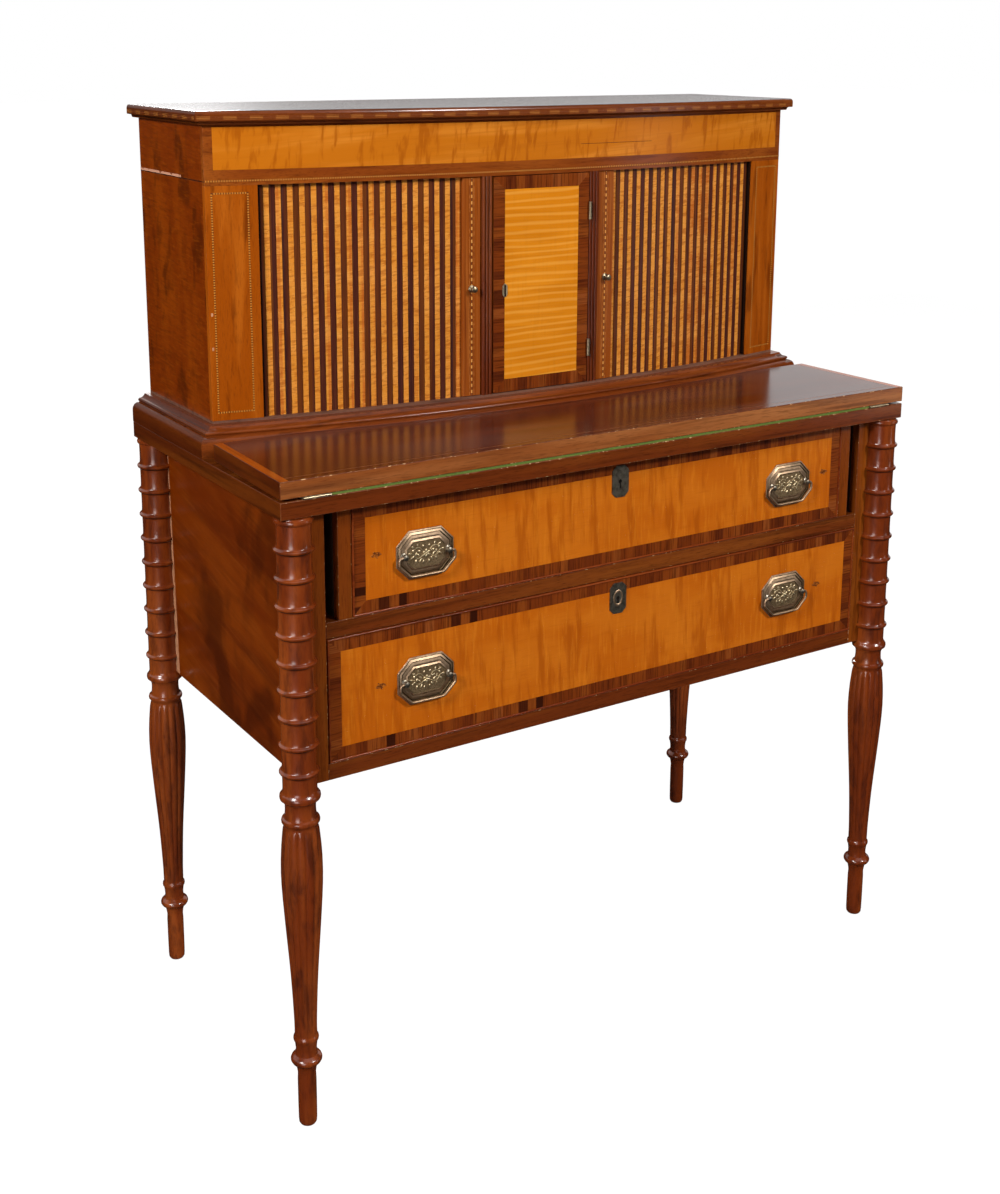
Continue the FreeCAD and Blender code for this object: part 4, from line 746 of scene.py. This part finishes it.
# The lower escutcheon has a raised oval round its keyhole.
oval = facing(spun("oval", [(6.2, 0), (7.0, 0.5), (7.9, 0.7), (8.8, 0.5), (9.6, 0), (6.2, 0)], 36))
oval.data.transform(Matrix.Diagonal((0.78, 1, 1.15, 1)))
place(shift(oval, y=FACE_Y - 0.95, z=KEYHOLES["lower_drawer"]), "lower_drawer_keyhole_oval", brass_plate,
      "aged_brass", body="lower_drawer_body")

# ---- Plinth and case floor ----
# A bowed moulding of mahogany round the foot of the upper case: a flat band with a rounded
# top edge, a small bead, and the floor board with its grooves for the tambours.
CASE_APEX = -29.5
BOW_CENTRE = (CASE_APEX + 2100.0) * mm


def bow_y(x, apex):
    """How far back the bowed line lies at a distance from the middle; all in metres."""
    radius = BOW_CENTRE - apex
    return BOW_CENTRE - sqrt(radius * radius - x * x)


def moulded_board(half, apex, rear, profile, steps=48):
    """A bow-fronted board whose edge follows a profile of (inset, height), all in mm."""
    piece = shift(started("grid", x_subdivisions=steps, y_subdivisions=1, size=2), z=profile[0][1])
    open_mesh(piece)
    for (_, below), (_, above) in zip(profile, profile[1:]):
        bpy.ops.mesh.extrude_region_move(TRANSFORM_OT_translate={"value": (0, 0, (above - below) * mm)})
    close_mesh()
    for vertex in piece.data.vertices:
        inset = min(profile, key=lambda level: abs(level[1] * mm - vertex.co.z))[0]
        front = vertex.co.y < 0
        vertex.co.x *= (half - inset) * mm
        vertex.co.y = bow_y(vertex.co.x, (apex + inset) * mm) if front else rear * mm
    return piece


plinth_wood = mahogany("mahogany_plinth", "x", "#6e300d", "#3a1405", "#8e481a", specular=0.3)
# A band, a quarter round of 9 mm, a quirk, a bead and a hollow up to the case.
plinth_profile = [(0.3, 766), (0, 766.5), (0, 781.5)]
for number in range(1, 8):
    turn = radians(90 / 7 * number)
    plinth_profile.append((8.5 * (1 - cos(turn)), 781.5 + 9.3 * sin(turn)))
plinth_profile += [(9.4, 791.0), (9.2, 791.6), (8.2, 792.6), (8.0, 793.8), (8.8, 795.2), (10.4, 795.9),
                   (12.0, 796.2), (14.0, 797.0), (15.6, 798.4), (16.6, 800.0), (17.2, 801)]
plinth = side_veneer(finished(moulded_board(464, -58.5, 222.5, plinth_profile), plinth_wood))
place(plinth, "plinth_moulding", None, "mahogany", "plinth", smooth=50)
dusty_sill = mahogany("mahogany_dusty_sill", "x", "#6c4636", "#38221a", "#86604c", 0.5)
ease("case_floor", "case_floor_board", 0.5, dusty_sill)
keep("case_soffit", pine_stained)

# ---- Upper case ----
# Mahogany sides and pilasters, a satinwood frieze in a mahogany border and a thin moulded
# top. Chequered stringing outlines each pilaster and runs along the frieze and the top.
side_wood = layered("mahogany_side_veneer", "#762c00", [
    ((60, 60, 200), "#8c3c02", 0.8, 0.42, 0.7, (6, 0, 0)),
    ((60, 34, 70), "#481800", 0.75, 0.5, 0.66),
    ((20, 24, 2.6), "#521c00", 0.45, 0.47, 0.68, (-4, 0, 0)),
    ((12, 16, 1.6), "#9a4a08", 0.4, 0.5, 0.7, (-4, 0, 0)),
    ((1.2, 1.2, 20), "#451700", 0.3, 0.5, 0.75),
], 0.28, bump=0.1)
pilaster_wood = layered("pilaster_veneer", "#944404", [
    ((16, 16, 240), "#b05c12", 0.7, 0.42, 0.7),
    ((12, 12, 90), "#5e2402", 0.7, 0.52, 0.7),
    ((1.2, 1.2, 9), "#652a05", 0.4, 0.5, 0.72),
], 0.28, specular=0.08, bump=0.08)
frieze_wood = layered("satinwood_frieze_veneer", "#b8660f", [
    ((260, 260, 30), "#cc7c24", 0.8, 0.42, 0.68, (0, 4, 0)),
    ((9, 9, 46), "#984a06", 0.75, 0.5, 0.68, (0, -5, 0)),
    ((140, 140, 3), "#aa5a0c", 0.4, 0.48, 0.7, (0, 3, 0)),
    ((1.3, 1.3, 1.3), "#733a06", 0.5, 0.72, 0.76),
], 0.25, bump=0.05)
frieze_border = mahogany("mahogany_frieze_border", "x", "#7c380f", "#4a1b07", "#985018")
chipped_veneer = layered("chipped_veneer_edge", "#c89074", [((5, 16, 9), "#7a4220", 0.9, 0.55, 0.6)], 0.6)
# Painted shade: a near-black finish for the shadowed gap beside the slats.
gap_shade_wood = mahogany("painted_gap_shade_black", "z", "#140a07", "#080403", "#22110b")


def chequer(name, run, pitch, light, dark):
    """Stringing of light and dark blocks, each half a pitch in mm long."""
    material, tree, shader = new_material(name, 0.35, 0.2)
    axes = add(tree, "SeparateXYZ", {"Vector": add(tree, "TexCoord").outputs["Object"]})
    is_dark = axes.outputs[run]
    for step, value in (("MULTIPLY", 1 / (pitch * mm)), ("FRACT", 0), ("GREATER_THAN", 0.5)):
        is_dark = add(tree, "Math", {0: is_dark, 1: value}, operation=step).outputs[0]
    mixed = add(tree, "Mix", {0: is_dark, 6: linear(light), 7: linear(dark)}, data_type="RGBA")
    tree.links.new(mixed.outputs[2], shader.inputs["Base Color"])
    return material


# Real blocks are about 1 mm: drawn at 1.5 mm so that they show.
chequer_upright = chequer("chequer_stringing_upright", "Z", 3.0, "#c07c2c", "#5a2606")
chequer_across = chequer("chequer_stringing_across", "X", 3.0, "#c07c2c", "#5a2606")
dashes_across = chequer("dash_stringing_across", "X", 30.0, "#9a5c24", "#6e3410")
dashes_deep = chequer("dash_stringing_deep", "Y", 30.0, "#9a5c24", "#6e3410")


def bowed_strip(x0, x1, apex, thickness, z0, z1, steps):
    """A strip that follows the bow, from its front line backwards; lengths in mm."""
    piece = started("grid", (abs(x1 - x0) * mm, (z1 - z0) * mm, 1), x_subdivisions=steps, y_subdivisions=1,
                    size=1, location=at((x0 + x1) / 2, 0, (z0 + z1) / 2), rotation=FACING)
    for vertex in piece.data.vertices:
        vertex.co.y = bow_y(vertex.co.x, apex * mm)
    use_modifier(piece, "SOLIDIFY", thickness=thickness * mm, offset=-1)
    return piece


# Stringing and thin veneers stand this far proud of the wood round them.
PROUD = 0.12


def inlay(name, finish, x0, x1, z0, z1, steps, apex=CASE_APEX - PROUD, thickness=0.5, slot="satinwood",
          body="case_body"):
    """A strip let into a bowed front; lengths in mm."""
    place(bowed_strip(x0, x1, apex, thickness, z0, z1, steps), name, finish, slot, body=body)


for side, _ in SIDES:
    node = "upper_side_" + side
    ease(node, node + "_panel", 0.4, side_wood, "mahogany_panel")
keep("upper_back", pine_long)
ease("pilasters", "pilaster_boards", 0.4, pilaster_wood, "mahogany_panel")
ease("frieze", "frieze_board", 0.3, frieze_border, "satinwood")
keep("pigeonholes", pine)
inlay("frieze_field", frieze_wood, -428.6, 428.6, 1100, 1149, 48)
inlay("frieze_string", chequer_across, -439, 439, 1086.4, 1088.2, 48)
# An old crack runs along the right half of the frieze.
inlay("frieze_crack", lock_dark, 58, 178, 1117.7, 1118.2, 8, apex=CASE_APEX - PROUD - 0.03, thickness=0.3)
# Each pilaster: two upright and two short strings, mitred to an outline.
string_in, string_out, string_low, string_high, string_width = 388.8, 432.4, 813.0, 1074.0, 1.8
for side, sign in SIDES:
    for name, x0, x1, z0, z1, finish, steps in (
        ("inner", string_in, string_in + string_width, string_low, string_high, chequer_upright, 1),
        ("outer", string_out - string_width, string_out, string_low, string_high, chequer_upright, 1),
        ("bottom", string_in, string_out, string_low, string_low + string_width, chequer_across, 6),
        ("top", string_in, string_out, string_high - string_width, string_high, chequer_across, 6),
    ):
        inlay("pilaster_string_%s_%s" % (side, name), finish, sign * x0, sign * x1, z0, z1, steps)
    # The side veneer is jointed level with the frieze string; its edges have pale chips.
    for name, y0, z0, z1, finish in (
        ("line", 17.6, 1086.2, 1087.2, lock_dark),
        ("chips", 88, 1087.2, 1090.2, chipped_veneer),
    ):
        place(board(at(sign * 438.8, y0, z0), at(sign * 439.12, 222.4, z1)),
              "side_joint_%s_%s" % (name, side), finish, "mahogany_panel")
    # A nearly black strip fills the gap between the pilaster and the slats: painted shade for the shadow in
    # that gap.
    inlay("tambour_stop_" + side, gap_shade_wood, sign * 375.2, sign * 382.8, 805, 1081, 2, apex=CASE_APEX + 2.2,
          thickness=4.6, slot="mahogany")
# Two small chips on the left pilaster's outer edge, filled with putty.
for number, chip_z in enumerate((932, 891)):
    inlay("pilaster_chip_%d" % number, putty, -436.4, -434.2, chip_z - 2, chip_z + 2, 1, thickness=0.4,
          slot="mahogany_panel")

top_wood = mahogany("mahogany_top_board", "x", "#6e320e", "#3c1606", "#8a481a", specular=0.4)
top_dark = mahogany("mahogany_top_darkened", "x", "#42200f", "#240f07", "#582c16", 0.16, 0.6)
top_profile = [(7.0, 1152), (6.6, 1152.6), (5.8, 1155), (4.4, 1156), (0.6, 1156.2), (0, 1157), (0, 1163.4),
               (0.4, 1165.6), (1.6, 1167.4), (3.6, 1168)]
TOP_APEX = -42.5
top = side_veneer(finished(moulded_board(452, TOP_APEX, 227.5, top_profile, steps=60), top_wood))
finish_faces(top, top_dark, lambda face: face.normal.z > 0.95)
place(top, "top_board_moulded", None, "mahogany", "top_board", smooth=50)
# The edge of the top has a line of dashes between two plain light lines.
for name, z0, z1 in (("lower", 1157.9, 1158.4), ("dashes", 1159.3, 1160.4), ("upper", 1161.2, 1161.7)):
    inlay("top_edge_%s_front" % name, dashes_across, -451, 451, z0, z1, 60, apex=TOP_APEX - PROUD)
    for side, sign in SIDES:
        place(board(at(sign * 451.6, 8, z0), at(sign * 452.12, 227, z1)), "top_edge_%s_%s" % (name, side),
              dashes_deep, "satinwood")

# ---- Door and its dividers ----
# A flat door with a striped satinwood field in mitred rosewood bands, hung on two brass
# butts. A reeded strip of dark wood stands at each side of it.
door_field = layered("satinwood_tiger_veneer", "#cc7810", [
    ((200, 200, 60), "#da861a", 0.8, 0.42, 0.66),
    ((200, 200, 8), "#b4640c", 0.35, 0.47, 0.66, (0, -2, 0)),
    ((5, 5, 60), "#b86a0e", 0.2, 0.5, 0.7),
    ((1.3, 1.3, 2.6), "#6e3a0c", 0.7, 0.76, 0.79),
], 0.25, bump=0.04, waver=0.15)
# Pale stripes cross the field at a pitch of 9.5 mm.
tree = door_field.node_tree
colour_in = tree.nodes["Principled BSDF"].inputs["Base Color"]
stripe_scale = 2 * pi / (20 * 9.5 * mm)
spaced = add(tree, "Mapping", {
    "Vector": add(tree, "TexCoord").outputs["Object"],
    "Scale": (stripe_scale / 6, stripe_scale / 6, stripe_scale),
})
stripes = add(tree, "TexWave", {
    "Vector": spaced.outputs[0], "Scale": 1.0, "Distortion": 5.5, "Detail": 2.0, "Detail Scale": 0.8,
}, wave_type="BANDS", bands_direction="Z")
share = add(tree, "MapRange", {"Value": stripes.outputs["Fac"], "From Min": 0.5, "To Max": 0.34})
under = colour_in.links[0].from_socket
mixed = add(tree, "Mix", {0: share.outputs[0], 6: under, 7: linear("#f0b04a")}, data_type="RGBA")
tree.links.new(mixed.outputs[2], colour_in)
reed_wood = mahogany("mahogany_dark_reeds", "z", "#5c240c", "#2c0f05", "#7a3c18")
veneered("door_face", *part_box("door_veneer"), 16.5 * mm, door_field, "door_body", "door_veneer")
ease("door_panel", "door_board", 0.4, mahogany_upright, body="door_body")
ease("door_dividers", "door_divider_strips", 0.3, reed_wood)
keep("door_escutcheon", brass_bright)
low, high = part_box("door_escutcheon")
middle = (low + high) / 2
place(board((middle.x - 1.3 * mm, low.y - 0.06 * mm, middle.z - 8 * mm),
            (middle.x + 1.3 * mm, low.y + 0.3 * mm, middle.z + 7 * mm)),
      "door_keyhole_shadow", lock_dark, "aged_brass", body="door_body")
keep("door_hinge_case_plates", brass_worn)
keep("door_hinge_door_plates", brass_worn)

# ---- Tambours ----
# Narrow slats, light and dark by turns, glued to canvas, behind a stiff lead stile with an
# upright line of stringing and a small turned knob.
slat_light = layered("slat_curly_satinwood", "#cc7f2a", [
    ((13, 13, 4000), "#b0591f", 0.8, 0.54, 0.6),
    ((60, 60, 30), "#da9040", 0.6, 0.42, 0.66),
    ((16, 16, 3.4), "#9c4a0e", 0.62, 0.47, 0.62, (0, 8, 0)),
    ((12, 12, 1.4), "#e8a850", 0.4, 0.5, 0.7),
    ((2.4, 2.4, 2.4), "#7a3208", 0.6, 0.66, 0.71),
], 0.28, specular=0.1, bump=0.04)
slat_dark = layered("slat_rosewood", "#482016", [
    ((12, 12, 4000), "#66320f", 0.85, 0.46, 0.56),
    ((9, 9, 4000), "#30181a", 0.8, 0.56, 0.62),
    ((5, 5, 120), "#34140a", 0.5, 0.45, 0.7),
    ((1.2, 1.2, 30), "#6a3c28", 0.35, 0.5, 0.75),
], 0.28, specular=0.1, bump=0.04)
stile_wood = layered("mahogany_lead_stile", "#8a4210", [
    ((6, 6, 200), "#a05a22", 0.7, 0.45, 0.7),
    ((3, 3, 160), "#551f08", 0.6, 0.48, 0.72),
], 0.25)
chain_upright = chequer("chain_stringing_upright", "Z", 8.0, "#cc8e44", "#6a3210")
stile_line = layered("string_faded", "#b06a2c", [((5, 5, 9), "#6e3410", 0.9, 0.4, 0.6)], 0.3)
SLAT_COUNT = 40
SLAT_PITCH = 7.28 * mm
SLAT_THICKNESS = 5 * mm
# The slats run in a groove 7.6 mm behind the face of the case.
SLAT_APEX = CASE_APEX + 7.6
slat_radius = BOW_CENTRE - SLAT_APEX * mm
stile_end = 115.8 * mm
slat_low, slat_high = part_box("tambour_slats_right")
slat_form = board((0.1 * mm, 0, slat_low.z), (SLAT_PITCH - 0.15 * mm, SLAT_THICKNESS, slat_high.z))


def upright_front(edge):
    """Whether an edge is one of a slat's two long front edges."""
    start, end = (slat_form.data.vertices[index].co for index in edge.vertices)
    return max(start.y, end.y) < 1 * mm and abs(start.z - end.z) > 0.1


pick(slat_form, "EDGE", upright_front)
bpy.ops.mesh.bevel(offset=0.8 * mm, segments=3, affect="EDGES")
bpy.ops.object.mode_set(mode="OBJECT")
start_angle = asin(stile_end / (slat_radius - SLAT_THICKNESS))
STILE_APEX = -26.5
knob_profile = [(0, 0), (4.6, 0), (4.6, 0.7), (3.4, 1.4), (1.9, 2.2), (1.8, 4.4), (2.6, 5.4), (3.9, 6.4),
                (4.3, 7.8), (3.9, 9.0), (2.6, 9.8), (0, 10.0)]
KNOB_X, KNOB_Z = at(103.3, 942)
for side, sign in SIDES:
    slats = []
    for number in range(SLAT_COUNT):
        slat = copied(slat_form)
        slat.data.transform(
            Matrix.Translation((0, BOW_CENTRE, 0))
            @ Matrix.Rotation(start_angle + number * SLAT_PITCH / slat_radius, 4, "Z")
            @ Matrix.Translation((0, -slat_radius, 0))
        )
        slats.append(finished(mirrored(slat, sign), slat_dark if number % 2 else slat_light))
    canvas = bowed_strip(sign * 116.0, sign * 403.0, SLAT_APEX + SLAT_THICKNESS / mm, 0.8, 805, 1081, 24)
    sheet = joined(slats + [finished(canvas, slat_dark)])
    node = "tambour_slats_" + side
    place(sheet, node + "_sheet", None, "satinwood", node, smooth=45)
    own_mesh(sheet)
    stile = "tambour_stile_" + side
    body = "tambour_%s_body" % side
    ease(stile, stile + "_board", 0.5, stile_wood, body=body)
    for name, finish, x0, x1 in (
        ("_string", chain_upright, 102.4, 104.2),
        ("_line_inner", stile_line, 99.8, 100.4),
        ("_line_outer", stile_line, 106.2, 106.8),
    ):
        inlay(stile + name, finish, sign * x0, sign * x1, 805.5, 1080.5, 1, apex=STILE_APEX - PROUD,
              thickness=0.4, body=body)
    knob = spun("knob", knob_profile, 28)
    knob.data.transform(
        Matrix.Translation((sign * KNOB_X, bow_y(KNOB_X, STILE_APEX * mm), KNOB_Z))
        @ Matrix.Rotation(sign * asin(KNOB_X / (BOW_CENTRE - STILE_APEX * mm)), 4, "Z")
        @ Matrix.Rotation(radians(90), 4, "X")
    )
    place(knob, "tambour_knob_%s_turned" % side, brass_worn, "aged_brass", "tambour_knob_" + side, body=body)
bpy.data.objects.remove(slat_form)

# ---- Studio ----
# A white floor and world and three soft lamps. Cards that only reflections see stand round
# it: dark ones keep the depth of polished wood, pale ones draw highlights on the turnings.
def seen_directly(tree):
    """1 where the camera, a reflection or glass looks at a surface, and 0 elsewhere."""
    rays = add(tree, "LightPath")
    seen = rays.outputs["Is Camera Ray"]
    for ray in ("Is Glossy Ray", "Is Transmission Ray"):
        seen = add(tree, "Math", {0: seen, 1: rays.outputs[ray]}, operation="MAXIMUM").outputs[0]
    return seen


floor_paint, tree, shader = new_material("studio_white", 0.9)
shader.inputs["Base Color"].default_value = linear("#a09f9d")
bright = add(tree, "Math", {0: seen_directly(tree), 1: 0.8}, operation="MULTIPLY")
glow = add(tree, "Emission", {"Color": (1, 1, 1, 1), "Strength": 1.23})
blend = add(tree, "MixShader", {0: bright.outputs[0], 1: shader.outputs[0], 2: glow.outputs[0]})
tree.links.new(blend.outputs[0], tree.nodes["Material Output"].inputs["Surface"])
floor = finished(started("plane", size=60), floor_paint)
floor.name = "studio_floor"

world = bpy.data.worlds.new("studio_world")
bpy.context.scene.world = world
world.use_nodes = True
tree = world.node_tree
strength = add(tree, "MapRange", {"Value": seen_directly(tree), "To Min": 0.15})
tree.links.new(strength.outputs[0], tree.nodes["Background"].inputs["Strength"])
tree.nodes["Background"].inputs["Color"].default_value = (1, 1, 1, 1)

# Each card: name, colour, strength, corners, then how far it turns round the middle.
DARK, PALE = "#1c1c1c", "#ffffff"
for name, code, strength, low, high, turn in (
    ("dark_card_rear", DARK, 1, (-5, 4, 0), (5, 4.02, 1.45), 0),
    ("dark_card_left", DARK, 1, (-5.02, -5, 0), (-5, 4, 2.2), 0),
    ("dark_card_front", DARK, 1, (-5, -5.02, 0), (5, -5, 4), 0),
    ("dark_card_right", DARK, 1, (5, -5, 0), (5.02, 1.2, 4), 0),
    ("dark_card_ceiling", DARK, 1, (-5, -5, 4.4), (5, 1.5, 4.42), 0),
    ("dark_card_floor_rear", DARK, 1, (-5, 0.35, 0.002), (5, 4, 0.004), 0),
    ("dark_card_floor_left", DARK, 1, (-5, -5, 0.002), (-0.6, 0.35, 0.004), 0),
    ("dark_card_floor_front", DARK, 1, (-0.6, -5, 0.002), (5, -0.36, 0.004), 0),
    ("dark_card_floor_middle", DARK, 1, (-0.6, -0.36, 0.002), (5, 0.35, 0.004), 0),
    ("pale_card_above", PALE, 1, (-2.4, -3.4, 4.3), (2.4, -0.9, 4.32), 0),
    ("pale_card_left", PALE, 6.5, (-0.5, -3.2, 0.1), (0.5, -3.18, 1.35), -48),
    ("pale_card_right", PALE, 2.5, (-0.22, -3.4, 0.1), (0.22, -3.38, 1.35), 49),
):
    card_paint, tree, _ = new_material("studio_" + name)
    shade = add(tree, "Emission", {"Color": linear(code), "Strength": strength})
    tree.links.new(shade.outputs[0], tree.nodes["Material Output"].inputs["Surface"])
    card = finished(board(low, high), card_paint)
    card.name = name
    card.data.transform(Matrix.Rotation(radians(turn), 4, "Z"))
    for kind in ("camera", "diffuse", "shadow", "transmission"):
        setattr(card, "visible_" + kind, False)

target = Vector((0, 0, 0.65))
for name, stand, size, power in (
    ("key_softbox", (1.5, -3.5, 2.9), 0.6, 128),
    ("side_softbox", (-2.8, -1.3, 2.3), 0.7, 92),
    ("rear_softbox", (0.8, 3.6, 2.6), 0.7, 90),
):
    lamp_data = bpy.data.lights.new(name, "AREA")
    lamp_data.shape = "SQUARE"
    lamp_data.size = size
    lamp_data.energy = power
    lamp = linked(name, lamp_data)
    lamp.location = stand
    lamp.rotation_euler = (target - Vector(stand)).to_track_quat("-Z", "Y").to_euler()

camera_data = bpy.data.cameras.new("camera")
camera = linked("camera", camera_data)
camera_data.sensor_width = 36
camera_data.lens = 48.588
camera_data.shift_x = -0.0002
camera_data.shift_y = -0.1656
camera_data.clip_start = 0.05
camera.matrix_world = (
    Matrix.Translation((-1.1541, -1.7350, 1.2483))
    @ Matrix.Rotation(radians(-32.597), 4, "Z")
    @ Matrix.Rotation(radians(90 - 12.589), 4, "X")
    @ Matrix.Rotation(radians(0.246), 4, "Z")
)
bpy.context.scene.camera = camera
bpy.context.scene.view_settings.view_transform = "Standard"
